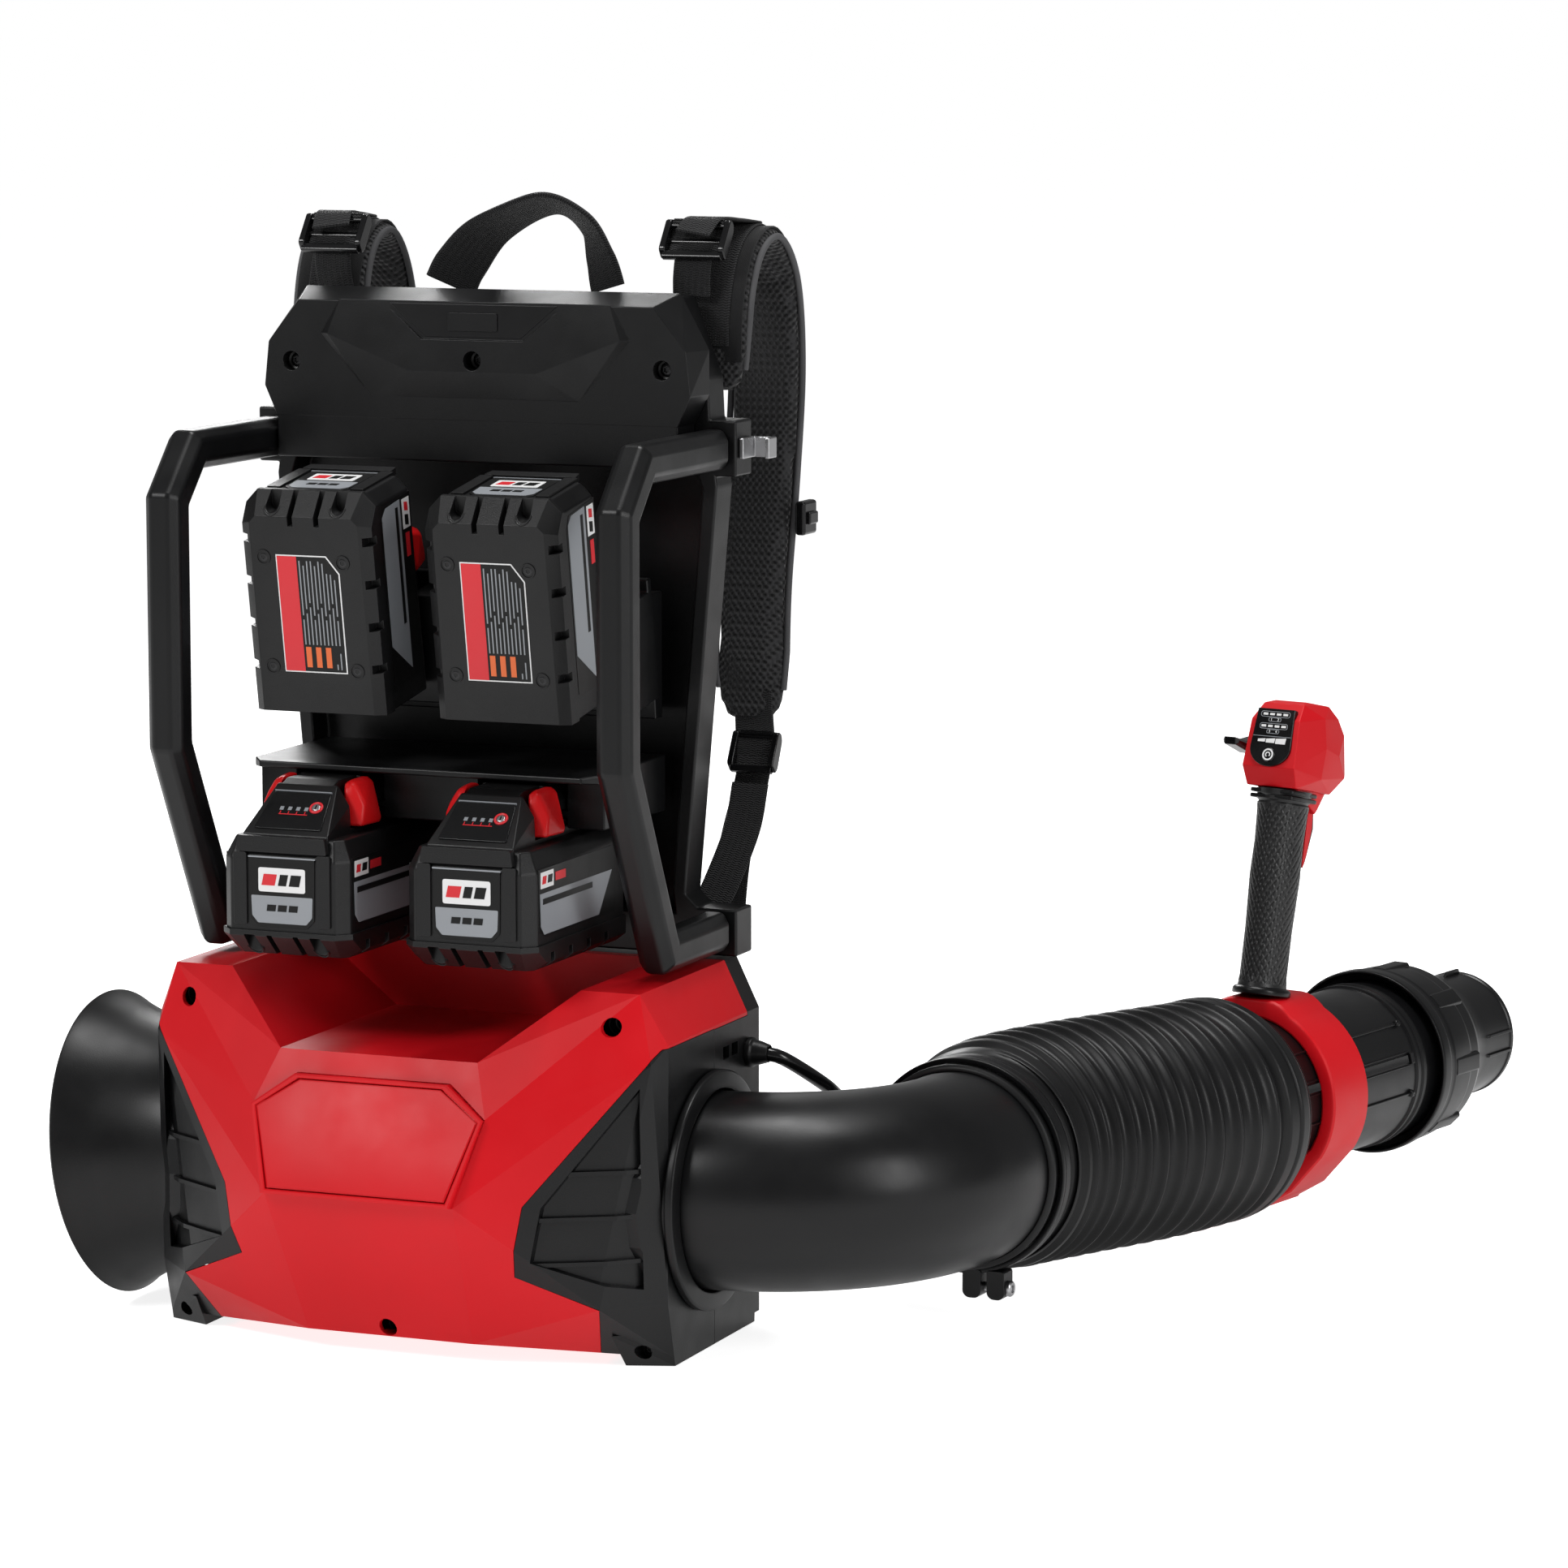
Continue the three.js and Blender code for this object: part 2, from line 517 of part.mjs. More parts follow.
place('back_pad', padSolid(), FABRIC);
place('carry_handle', carryHandle(), FABRIC);
for (const [side, turn] of [['right', (g) => g], ['left', mirror]]) {
  place(`strap_${side}`, turn(band(54, 14, STRAP_PATH, 22)), FABRIC);
  place(`lower_web_${side}`, turn(band(25, 2.5, WEB_PATH, 8)), FABRIC);
  place(`lifter_web_${side}`, turn(band(25, 2.5, [[124, 88, 652], [125, 85, 662], [126, 84, 670]], 3)), FABRIC);
  place(`ladder_buckle_${side}`, turn(buckle(44).rotateX(-35 * DEG).translate(126, 90, 684)), GLOSS);
  place(`lower_buckle_${side}`, turn(buckle(32).rotateX(-28 * DEG).translate(145, 139.5, 355)), GLOSS);
}
place('chest_clip', box(159.5, 168, 172, 194, 492, 514), GLOSS);

// ---------- tube ----------
const heading = (angle) => new THREE.Vector3(Math.cos(angle * DEG), Math.sin(angle * DEG), 0);
const elbowStart = new THREE.Vector3(ELBOW_START, AXIS_Y, AXIS_Z);
const bendStart = new THREE.Vector3(ELBOW_STRAIGHT, AXIS_Y, AXIS_Z);

class ElbowLine extends THREE.Curve {
  getPoint(t, target = new THREE.Vector3()) {
    const straight = ELBOW_STRAIGHT - ELBOW_START;
    const arc = ELBOW_BEND * ELBOW_ANGLE * DEG;
    const cuff = 24;
    const travelled = t * (straight + arc + cuff);
    if (travelled < straight) return target.copy(elbowStart).setX(ELBOW_START + travelled);
    const angle = Math.min(travelled - straight, arc) / ELBOW_BEND;
    const bent = new THREE.Vector3(Math.sin(angle), 1 - Math.cos(angle), 0).multiplyScalar(ELBOW_BEND);
    const rest = Math.max(0, travelled - straight - arc);
    return target.copy(bendStart).add(bent).addScaledVector(heading(ELBOW_ANGLE), rest);
  }
}

const elbowEnd = new ElbowLine().getPoint(1);
const hoseEnd = new THREE.Vector3(HOSE_END[0], HOSE_END[1], AXIS_Z);
const cuffStart = elbowEnd.clone().addScaledVector(heading(ELBOW_ANGLE), -22);
const hoseStart = elbowEnd.clone().addScaledVector(heading(ELBOW_ANGLE), 14);

function hoseLine() {
  const lead = hoseStart.clone().addScaledVector(heading(82), 70);
  const tail = hoseEnd.clone().addScaledVector(heading(HEADING), -75);
  return new THREE.CubicBezierCurve3(hoseStart, lead, tail, hoseEnd);
}

place('elbow', sweep(ringShape(TUBE_R, TUBE_R - TUBE_WALL, ROUND), new ElbowLine(), 13), GLOSS);

// Hose: a straight cuff over the elbow's spigot, then the corrugated length.
function bellows() {
  const cuff = turned(pipe(HOSE_CUFF_R, TUBE_R + 0.5, 0, 37)).rotateZ((ELBOW_ANGLE - 90) * DEG)
    .translate(cuffStart.x, cuffStart.y, cuffStart.z);
  return join(cuff, sweep(ringShape(HOSE_R, HOSE_R - 13, ROUND), hoseLine(), 10));
}

place('bellows', bellows(), RUBBER);

const tube = new THREE.Group();
tube.position.copy(hoseEnd);
tube.rotation.z = (HEADING - 90) * DEG;
build.add(tube);

function clampRing() {
  const mid = RING_NEAR + RING_WIDTH / 2;
  const rim = circlePoints(RING_R, ROUND).filter(([x, z]) => z > -35 && Math.abs(Math.atan2(x, z)) > 20 * DEG);
  const top = [[20, RING_TOP], [-20, RING_TOP]];
  const keel = [[-13, -74], [13, -74]];
  const right = rim.filter(([x]) => x > 0).sort((a, b) => a[1] - b[1]);
  const left = right.map(([x, z]) => [-x, z]).reverse();
  const shape = outlineShape([...right, ...top, ...left, ...keel]);
  shape.holes.push(new THREE.Path(circlePoints(SWIVEL_R + 0.4, ROUND).map(([a, b]) => new THREE.Vector2(a, b))));
  return prism(shape, RING_WIDTH).rotateX(90 * DEG).translate(0, mid + RING_WIDTH / 2, 0);
}

function swivelTube() {
  const body = turned(pipe(SWIVEL_R, SWIVEL_R - TUBE_WALL, -24, COLLAR_NEAR + 14));
  const stop = turned(pipe(SWIVEL_R + 1.5, SWIVEL_R - 1, 178, 182));
  return join(body, stop);
}

// Cuff on the hose's end, with a socket on its far side where the cable goes in.
function hoseCuff() {
  const bore = SWIVEL_R + 0.9;
  const cuff = turned([[bore, 0.4], [HOSE_R - 4, 0.4], [65, 5], [62, 18], [bore, 18], [bore, 0.4]]);
  const boss = box(-91, -60, 5.5, 18, -15, 1);
  const socket = turned(rod(5.6, 0, 14), 12).translate(-83, 0, -7);
  return cut(join(cuff, boss), socket);
}

place('hose_cuff', hoseCuff(), BLACK, tube);
place('swivel_tube', swivelTube(), BLACK, tube);
place('clamp_ring', clampRing(), RED, tube);

const handle = new THREE.Group();
handle.position.set(0, RING_NEAR + RING_WIDTH / 2 - 9, RING_TOP + GAP);
handle.rotation.x = -GRIP_LEAN * DEG;
tube.add(handle);

const GRIP_H = 139;
function grip() {
  const profile = [[0, 4.4], [17, 4.4], [17, 11], [15.5, 13], [16, 45], [17.5, 80], [16.5, 110], [19, GRIP_H], [0, GRIP_H]];
  const body = turned(profile, 20).rotateX(90 * DEG).scale(0.92, 1.12, 1);
  return cut(body, box(-8, 8, 13, 30, 86, 137));
}

function controlHead() {
  const z = GRIP_H + GAP;
  const side = [[-20, z], [-27, z + 14], [-23, z + 46], [-14, z + 58], [20, z + 60], [38, z + 43], [43, z + 14], [32, z + 1],
    [20, z - 0.1]];
  return prismX(side, -25, 25, 5);
}

const HEAD_Z = GRIP_H + GAP;
const displayFace = [[-26.6, HEAD_Z + 15], [-22.9, HEAD_Z + 44], [-24.9, HEAD_Z + 44.4], [-28.6, HEAD_Z + 15.4]];
place('grip', grip(), RUBBER, handle);
place('control_head', controlHead(), RED, handle);
place('display_panel', prismX(displayFace.map(([y, z]) => [y - 0.9, z]), -16, 16), GLOSS, handle);
place('power_button', turned(rod(5, 0, 3), 20).rotateX(-8 * DEG).translate(0, -33, HEAD_Z + 21), GLOSS, handle);
place('trigger', prismX([[21.4, 136], [30, 136], [34, 116], [29, 96], [25, 88], [22.5, 94], [21.4, 110]], -7, 7, 2), BLACK, handle);
place('cruise_lever', prismX([[-12, HEAD_Z + 30], [4, HEAD_Z + 34], [6, HEAD_Z + 26], [-4, HEAD_Z + 22], [-26, HEAD_Z + 26],
  [-27, HEAD_Z + 31]], -38, -25.5, 2), BLACK, handle);

function lockCollar() {
  const wall = turned([[SWIVEL_R + 0.5, COLLAR_NEAR + 8], [61, COLLAR_NEAR + 6], [61.5, COLLAR_NEAR], [64, COLLAR_NEAR],
    [64, COLLAR_NEAR + 12], [62, COLLAR_NEAR + 20],
    [61, COLLAR_FAR - 6], [58, COLLAR_FAR], [53.4, COLLAR_FAR], [53.4, COLLAR_NEAR + 16], [SWIVEL_R + 0.5, COLLAR_NEAR + 16],
    [SWIVEL_R + 0.5, COLLAR_NEAR + 8]]);
  const lugs = Array.from({ length: 8 }, (_, i) => box(-7, 7, COLLAR_NEAR + 10, COLLAR_FAR - 8, 59, 63)
    .rotateY(i * 45 * DEG));
  return join(wall, ...lugs);
}

function nozzle() {
  const outer = [[52.1, 190], [52.1, 262], [50, 272], [44, 292], [43.3, NOZZLE_END]];
  const inner = [...outer].reverse().map(([r, y]) => [r - 2.5, y]);
  const ribs = [0, 1, 2, 3].map((i) => box(-1.2, 1.2, NOZZLE_END - 22, NOZZLE_END - 2, 42, 47).rotateY(i * 90 * DEG));
  return join(turned([...outer, ...inner, outer[0]]), ...ribs);
}

place('lock_collar', lockCollar(), BLACK, tube);
place('nozzle', nozzle(), BLACK, tube);

// Band clamp round the hose's near cuff, with two lugs and a screw below.
const clamp = new THREE.Group();
clamp.position.copy(cuffStart).addScaledVector(heading(ELBOW_ANGLE), 14);
clamp.rotation.z = (ELBOW_ANGLE - 90) * DEG;
build.add(clamp);
const CLAMP_R = HOSE_CUFF_R + 0.4;
const lugs = box(0, 29, -7, 7, -CLAMP_R - 18, -CLAMP_R + 3);
const split = box(13, 16.5, -20, 20, -CLAMP_R - 25, -CLAMP_R + 10);
const band0 = cut(join(turned(pipe(CLAMP_R + 3, CLAMP_R, -6, 6)), lugs), turned(rod(CLAMP_R, -9, 9)), split,
  box(-30, 40, -3.4, 3.4, -CLAMP_R - 14.4, -CLAMP_R - 7.6));
place('hose_clamp', band0, BLACK, clamp);
place('clamp_screw', turned(rod(3, -2, 31), 12).rotateZ(-90 * DEG).translate(0, 0, -CLAMP_R - 11), STEEL, clamp);

// ---------- cable ----------
place('cable_gland', turned(pipe(9.5, 6.6, BASE_HALF + GAP, BASE_HALF + 8), 16).rotateZ(-90 * DEG).translate(0, 58, 176), RUBBER);
const CABLE = [[176, 58, 176], [184, 59, 175.6], [196, 64, 172], [212, 92, 152], [213, 140, 128], [222, 190, 112], [244, 250, 102],
  [275, 320, 96], [292, 352, 94], [304.9, 378.9, 93], [307.7, 391, 93]];
place('control_cable', sweep(outlineShape(circlePoints(4.5, 8)), spline(CABLE), 34), RUBBER);

export default build;
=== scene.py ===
"""Backpack leaf blower: the looks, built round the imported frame.

Sizes and places are in millimetres and turned to metres by MM; camera, lights and textures are in metres.
X runs to the tube's side, -Y to the front, Z up.
"""
import math

import bmesh
import bpy
from mathutils import Matrix, Vector


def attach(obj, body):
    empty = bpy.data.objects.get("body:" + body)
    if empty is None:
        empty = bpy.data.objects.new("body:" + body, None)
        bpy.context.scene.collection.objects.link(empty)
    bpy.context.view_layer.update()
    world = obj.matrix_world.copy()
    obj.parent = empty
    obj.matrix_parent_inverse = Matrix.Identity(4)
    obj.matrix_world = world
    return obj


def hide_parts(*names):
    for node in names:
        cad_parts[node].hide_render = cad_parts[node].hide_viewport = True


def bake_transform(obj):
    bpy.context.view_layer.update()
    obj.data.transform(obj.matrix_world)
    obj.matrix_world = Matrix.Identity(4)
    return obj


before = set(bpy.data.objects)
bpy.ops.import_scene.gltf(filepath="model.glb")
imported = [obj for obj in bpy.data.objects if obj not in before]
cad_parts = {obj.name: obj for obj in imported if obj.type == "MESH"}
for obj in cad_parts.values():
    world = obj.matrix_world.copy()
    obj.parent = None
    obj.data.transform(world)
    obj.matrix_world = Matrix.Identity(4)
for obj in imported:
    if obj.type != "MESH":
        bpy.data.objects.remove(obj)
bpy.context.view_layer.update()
MM = 0.001
SCENE = bpy.context.scene

# ---------- helpers for places and outlines ----------
def spin(degrees, axis):
    return Matrix.Rotation(math.radians(degrees), 4, axis)


def at(x, y, z, turn=0.0, axis="Z"):
    return Matrix.Translation(Vector((x, y, z)) * MM) @ spin(turn, axis)


def arc(radius, angles, x=0.0, z=0.0, depth=None):
    """Points on a circle, or on an ellipse when depth is given, at angles in degrees."""
    depth = radius if depth is None else depth
    turns = [math.radians(angle) for angle in angles]
    return [(x + radius * math.cos(a), z + depth * math.sin(a)) for a in turns]


def disc(x, z, radius):
    return arc(radius, [360 * k / 32 for k in range(32)], x, z)


def rect(x, z, w, h):
    return [(x - w / 2, z - h / 2), (x + w / 2, z - h / 2), (x + w / 2, z + h / 2), (x - w / 2, z + h / 2)]


def mirrored_x(points):
    return [(side * x, y, z) for side in (-1, 1) for x, y, z in points]


def both_halves(half):
    """Closed outline from its right half, listed from one end to the other."""
    return half + [(-x, z) for x, z in reversed(half)]


def length_of(points):
    return sum((b - a).length for a, b in zip(points, points[1:]))


# ---------- camera, floor and light ----------
CAMERA_PLACE = (1.538, -3.258, 0.8505)
CAMERA_AZIMUTH, CAMERA_ELEVATION = 22, 8
CAMERA_LENS, SENSOR_WIDTH = 132.69, 36
FLOOR_HALF, FLOOR_DROP = 60, 0.0006
AIM = (0.1, 0.1, 0.35)
LIGHTS = (("key", (-1.4, -2.6, 2.6), (1.1, 0.9), 60), ("side", (3.2, -1.0, 1.5), (0.7, 1.8), 40),
          ("top", (0.2, 0.3, 3.2), (1.4, 0.7), 58), ("back", (-1.8, 2.8, 1.8), (1.2, 0.8), 36))


def add_camera():
    data = bpy.data.cameras.new("camera")
    data.lens = CAMERA_LENS
    data.sensor_width = SENSOR_WIDTH
    data.clip_end = 200
    camera = bpy.data.objects.new("camera", data)
    camera.location = CAMERA_PLACE
    camera.rotation_euler = (math.radians(90 - CAMERA_ELEVATION), 0, math.radians(CAMERA_AZIMUTH))
    SCENE.collection.objects.link(camera)
    SCENE.camera = camera


def add_area(name, place, size, power):
    data = bpy.data.lights.new(name, "AREA")
    data.shape = "RECTANGLE"
    data.size, data.size_y = size
    data.energy = power
    light = bpy.data.objects.new(name, data)
    light.location = place
    light.rotation_euler = (Vector(AIM) - Vector(place)).to_track_quat("-Z", "Y").to_euler()
    SCENE.collection.objects.link(light)


def seen_and_lit(tree, lit, seen, target):
    """A strength with one value for the light it casts and another for how bright it looks."""
    path = tree.nodes.new("ShaderNodeLightPath")
    span = tree.nodes.new("ShaderNodeMapRange")
    span.inputs["To Min"].default_value = lit
    span.inputs["To Max"].default_value = seen
    tree.links.new(path.outputs["Is Camera Ray"], span.inputs["Value"])
    tree.links.new(span.outputs["Result"], target)


def add_floor():
    mesh = bpy.data.meshes.new("floor")
    corners = [(-FLOOR_HALF, -FLOOR_HALF), (FLOOR_HALF, -FLOOR_HALF), (FLOOR_HALF, FLOOR_HALF),
               (-FLOOR_HALF, FLOOR_HALF)]
    mesh.from_pydata([(x, y, 0) for x, y in corners], [], [(0, 1, 2, 3)])
    floor = bpy.data.objects.new("floor", mesh)
    floor.location.z = -FLOOR_DROP
    SCENE.collection.objects.link(floor)
    paint = surface("floor_paint", (0.8, 0.8, 0.8), 0.9, specular=0.0)
    shader_of(paint).inputs["Emission Color"].default_value = (1, 1, 1, 1)
    seen_and_lit(paint.node_tree, 0.35, 0.84, shader_of(paint).inputs["Emission Strength"])
    mesh.materials.append(paint)


def add_stage():
    add_floor()
    world = bpy.data.worlds.new("studio")
    world.use_nodes = True
    background = world.node_tree.nodes["Background"]
    background.inputs["Color"].default_value = (1, 1, 1, 1)
    seen_and_lit(world.node_tree, 0.2, 1.0, background.inputs["Strength"])
    SCENE.world = world
    SCENE.view_settings.view_transform = "Standard"
    for name, place, size, power in LIGHTS:
        add_area(name, place, size, power)


# ---------- materials ----------
def surface(name, colour, roughness, specular=0.5, metallic=0.0, sheen=0.0):
    material = bpy.data.materials.new(name)
    material.use_nodes = True
    shader = material.node_tree.nodes["Principled BSDF"]
    shader.inputs["Base Color"].default_value = (*colour, 1)
    shader.inputs["Roughness"].default_value = roughness
    shader.inputs["Metallic"].default_value = metallic
    shader.inputs["Specular IOR Level"].default_value = specular
    shader.inputs["Sheen Weight"].default_value = sheen
    shader.inputs["Sheen Roughness"].default_value = 0.45
    return material


def shader_of(material):
    return material.node_tree.nodes["Principled BSDF"]


def coordinates(material, kind="Object"):
    return material.node_tree.nodes.new("ShaderNodeTexCoord").outputs[kind]


def noise(material, scale, detail=2.0):
    tree = material.node_tree
    texture = tree.nodes.new("ShaderNodeTexNoise")
    texture.inputs["Scale"].default_value = scale
    texture.inputs["Detail"].default_value = detail
    tree.links.new(coordinates(material), texture.inputs["Vector"])
    return texture.outputs["Fac"]


def mottle(material, low, high, scale):
    """Colour that drifts between two tints."""
    tree = material.node_tree
    ramp = tree.nodes.new("ShaderNodeValToRGB")
    ramp.color_ramp.elements[0].position = 0.3
    ramp.color_ramp.elements[0].color = (*low, 1)
    ramp.color_ramp.elements[1].position = 0.7
    ramp.color_ramp.elements[1].color = (*high, 1)
    tree.links.new(noise(material, scale, 3.0), ramp.inputs["Fac"])
    tree.links.new(ramp.outputs["Color"], shader_of(material).inputs["Base Color"])


def vary_roughness(material, low, high, scale):
    tree = material.node_tree
    span = tree.nodes.new("ShaderNodeMapRange")
    span.inputs["From Min"].default_value = 0.3
    span.inputs["From Max"].default_value = 0.7
    span.inputs["To Min"].default_value = low
    span.inputs["To Max"].default_value = high
    tree.links.new(noise(material, scale), span.inputs["Value"])
    tree.links.new(span.outputs["Result"], shader_of(material).inputs["Roughness"])


def relief(material, height, depth, strength=1.0):
    """Bump from a height output, laid over any bump already there."""
    tree = material.node_tree
    bump = tree.nodes.new("ShaderNodeBump")
    bump.inputs["Strength"].default_value = strength
    bump.inputs["Distance"].default_value = depth * MM
    normal = shader_of(material).inputs["Normal"]
    if normal.is_linked:
        tree.links.new(normal.links[0].from_socket, bump.inputs["Normal"])
    tree.links.new(height, bump.inputs["Height"])
    tree.links.new(bump.outputs["Normal"], normal)


def maths(material, operation, a, b=None):
    node = material.node_tree.nodes.new("ShaderNodeMath")
    node.operation = operation
    for value, socket in ((a, node.inputs[0]), (b, node.inputs[1])):
        if isinstance(value, (int, float)):
            socket.default_value = value
        elif value is not None:
            material.node_tree.links.new(value, socket)
    return node.outputs[0]


def axes(material, kind="Object"):
    split = material.node_tree.nodes.new("ShaderNodeSeparateXYZ")
    material.node_tree.links.new(coordinates(material, kind), split.inputs[0])
    return split.outputs[0], split.outputs[1], split.outputs[2]


def wave(material, value, pitch):
    """Sine along a coordinate in metres, one cycle per pitch in millimetres."""
    return maths(material, "SINE", maths(material, "MULTIPLY", value, 2 * math.pi / (pitch * MM)))


def plastic(name, low, high, roughness, grain, grain_depth, specular=0.5, metallic=0.0):
    """Moulded finish: drifting tint and roughness, and a fine grain (noise scale, depth in millimetres)."""
    material = surface(name, low, roughness, specular, metallic)
    mottle(material, low, high, 9)
    vary_roughness(material, roughness - 0.04, roughness + 0.05, 35)
    relief(material, noise(material, grain, 3.0), grain_depth)
    return material


def tint(material, mask, colour):
    """Mixes colour into the base colour where mask is 1."""
    tree = material.node_tree
    mix = tree.nodes.new("ShaderNodeMix")
    mix.data_type = "RGBA"
    base = shader_of(material).inputs["Base Color"]
    if base.is_linked:
        tree.links.new(base.links[0].from_socket, mix.inputs[6])
    else:
        mix.inputs[6].default_value = base.default_value
    mix.inputs[7].default_value = (*colour, 1)
    tree.links.new(mask, mix.inputs[0])
    tree.links.new(mix.outputs[2], base)


def webbing(name):
    """Ribbed nylon webbing with a herringbone shift from rib to rib; u is across, v along, in metres."""
    material = surface(name, (0.006, 0.006, 0.0065), 0.7, 0.25, sheen=0.08)
    u, v, _ = axes(material, "UV")
    zigzag = maths(material, "PINGPONG", u, 2.2 * MM)
    ribs = wave(material, maths(material, "ADD", v, maths(material, "MULTIPLY", zigzag, 0.35)), 1.5)
    threads = wave(material, u, 1.1)
    height = maths(material, "ADD", ribs, maths(material, "MULTIPLY", threads, 0.45))
    # Painted highlight: the raised rib crests are tinted lighter, standing in for light caught on the ribs.
    tint(material, maths(material, "MULTIPLY", maths(material, "MAXIMUM", ribs, 0.0), 0.55),
         (0.03, 0.03, 0.032))
    relief(material, height, 0.35)
    return material


def spacer_mesh(name):
    """Air mesh: rows of oval holes, offset row by row, in the object's own axes; the holes carry painted
    shade and the threads painted sheen.
    """
    material = surface(name, (0.02, 0.02, 0.021), 0.8, 0.3, sheen=0.15)
    x, y, z = axes(material)
    across = maths(material, "ADD", wave(material, x, 4.4), wave(material, y, 4.4))
    rows = wave(material, z, 5.2)
    cells = maths(material, "MULTIPLY", across, rows)
    # Painted shade: the holes are tinted near-black, standing in for the shade inside them.
    shaded_hole = maths(material, "GREATER_THAN", cells, 0.35)
    tint(material, shaded_hole, (0.002, 0.002, 0.002))
    # Painted sheen: lighter lines along the threads.
    threads = wave(material, maths(material, "ADD", z, maths(material, "ADD", x, y)), 1.2)
    tint(material, maths(material, "MULTIPLY", maths(material, "MAXIMUM", threads, 0.0), 0.35),
         (0.06, 0.06, 0.063))
    relief(material, maths(material, "MULTIPLY", cells, -1.0), 0.7)
    relief(material, noise(material, 900, 2), 0.15)
    return material


def pad_cloth(name):
    material = surface(name, (0.005, 0.005, 0.0055), 0.75, 0.25, sheen=0.1)
    x, y, z = axes(material)
    weave = maths(material, "MULTIPLY", wave(material, maths(material, "ADD", x, y), 0.9),
                  wave(material, z, 0.9))
    relief(material, weave, 0.16)
    relief(material, noise(material, 60, 4), 0.8, 0.5)
    # Painted highlight: the raised threads of the weave are tinted lighter.
    tint(material, maths(material, "MULTIPLY", maths(material, "MAXIMUM", weave, 0.0), 0.5),
         (0.012, 0.012, 0.013))
    return material


RED = plastic("red_shell", (0.56, 0.0035, 0.008), (0.62, 0.005, 0.011), 0.4, 900, 0.03, 0.22)
BLACK = plastic("black_housing", (0.0026, 0.0027, 0.003), (0.0044, 0.0045, 0.0049), 0.36, 1400, 0.06, 0.3)
SMOOTH = plastic("black_smooth", (0.0032, 0.0032, 0.0036), (0.005, 0.005, 0.0055), 0.32, 700, 0.02, 0.28)
ELBOW = plastic("black_elbow", (0.0034, 0.0034, 0.0038), (0.005, 0.005, 0.0055), 0.34, 500, 0.03, 0.28)
RUBBER = plastic("hose_rubber", (0.0042, 0.0042, 0.0045), (0.0062, 0.0062, 0.0066), 0.4, 1100, 0.04, 0.28)
PACK = plastic("pack_plastic", (0.0026, 0.0026, 0.0028), (0.006, 0.006, 0.0064), 0.4, 1700, 0.12, 0.34)
GLOSS = plastic("gloss_black", (0.0035, 0.0035, 0.0038), (0.0045, 0.0045, 0.005), 0.18, 300, 0.01, 0.4)
KNURL = plastic("grip_rubber", (0.005, 0.005, 0.0053), (0.008, 0.008, 0.0084), 0.36, 1500, 0.03, 0.45)
BUTTON = plastic("button_red", (0.6, 0.006, 0.008), (0.66, 0.008, 0.01), 0.34, 1100, 0.04, 0.3)
STEEL = plastic("steel", (0.42, 0.42, 0.43), (0.58, 0.58, 0.59), 0.3, 240, 0.02, metallic=1.0)
SCREW = plastic("screw_black", (0.03, 0.03, 0.031), (0.05, 0.05, 0.051), 0.3, 500, 0.02, metallic=1.0)
WHITE = plastic("label_white", (0.72, 0.72, 0.72), (0.8, 0.8, 0.8), 0.4, 600, 0.01)
GREY = plastic("label_grey", (0.23, 0.245, 0.265), (0.3, 0.315, 0.335), 0.4, 600, 0.01)
DARK = plastic("label_dark", (0.004, 0.004, 0.004), (0.006, 0.006, 0.006), 0.35, 600, 0.01, 0.25)
LABEL_RED = plastic("label_red", (0.6, 0.012, 0.02), (0.66, 0.015, 0.025), 0.4, 600, 0.01)
ORANGE = plastic("label_orange", (0.7, 0.12, 0.02), (0.75, 0.15, 0.03), 0.4, 600, 0.01)
WEB = webbing("webbing")
MESH = spacer_mesh("spacer_mesh")
PAD = pad_cloth("pad_cloth")
THREAD = plastic("piping_thread", (0.05, 0.05, 0.052), (0.1, 0.1, 0.104), 0.8, 900, 0.3, 0.2)


# ---------- mesh making ----------
def add(name, rows, material, wrap_rows=False, place=None, crease=35, uv=None):
    """Rings of points as a mesh; the first and last ring are capped unless the rings close on each other.

    uv(row, column) gives the weave's place in metres.
    """
    count, width = len(rows), len(rows[0])
    points = [Vector(p) * MM for row in rows for p in row]
    faces, corners = [], []
    for i in range(count if wrap_rows else count - 1):
        for j in range(width):
            ring = [(i, j), (i, j + 1), (i + 1, j + 1), (i + 1, j)]
            faces.append([(a % count) * width + b % width for a, b in ring])
            corners.append(ring)
    if not wrap_rows:
        for end in (0, count - 1):
            faces.append([end * width + j for j in range(width)])
            corners.append([(end, j) for j in range(width)])
    mesh = bpy.data.meshes.new(name)
    mesh.from_pydata(points, [], faces)
    if uv:
        layer = mesh.uv_layers.new(name="along")
        flat = [uv(*corner) for ring in corners for corner in ring]
        layer.data.foreach_set("uv", [value for pair in flat for value in pair])
    return finish_mesh(name, mesh, material, place, crease)


def finish_mesh(name, mesh, material, place=None, crease=35):
    shape = bmesh.new()
    shape.from_mesh(mesh)
    bmesh.ops.recalc_face_normals(shape, faces=shape.faces)
    for face in shape.faces:
        face.smooth = True
    for edge in shape.edges:
        edge.smooth = len(edge.link_faces) == 2 and edge.calc_face_angle(0) < math.radians(crease)
    shape.to_mesh(mesh)
    shape.free()
    mesh.materials.append(material)
    item = bpy.data.objects.new(name, mesh)
    SCENE.collection.objects.link(item)
    if place is not None:
        item.matrix_world = place
    return item


def put(item, body, *stands_for, slot=None):
    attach(item, body)
    if stands_for:
        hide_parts(*stands_for)
    return item


def turned(name, profile, material, place=None, steps=96, crease=35, bend=None):
    """Round piece about its own Y from a closed [radius, y] profile."""
    rows = []
    for i in range(steps):
        angle = 2 * math.pi * i / steps
        rows.append([(r * math.sin(angle), y, r * math.cos(angle)) for r, y in profile])
    if bend:
        rows = [[bend(p) for p in row] for row in rows]
    return add(name, rows, material, wrap_rows=True, place=place, crease=crease)


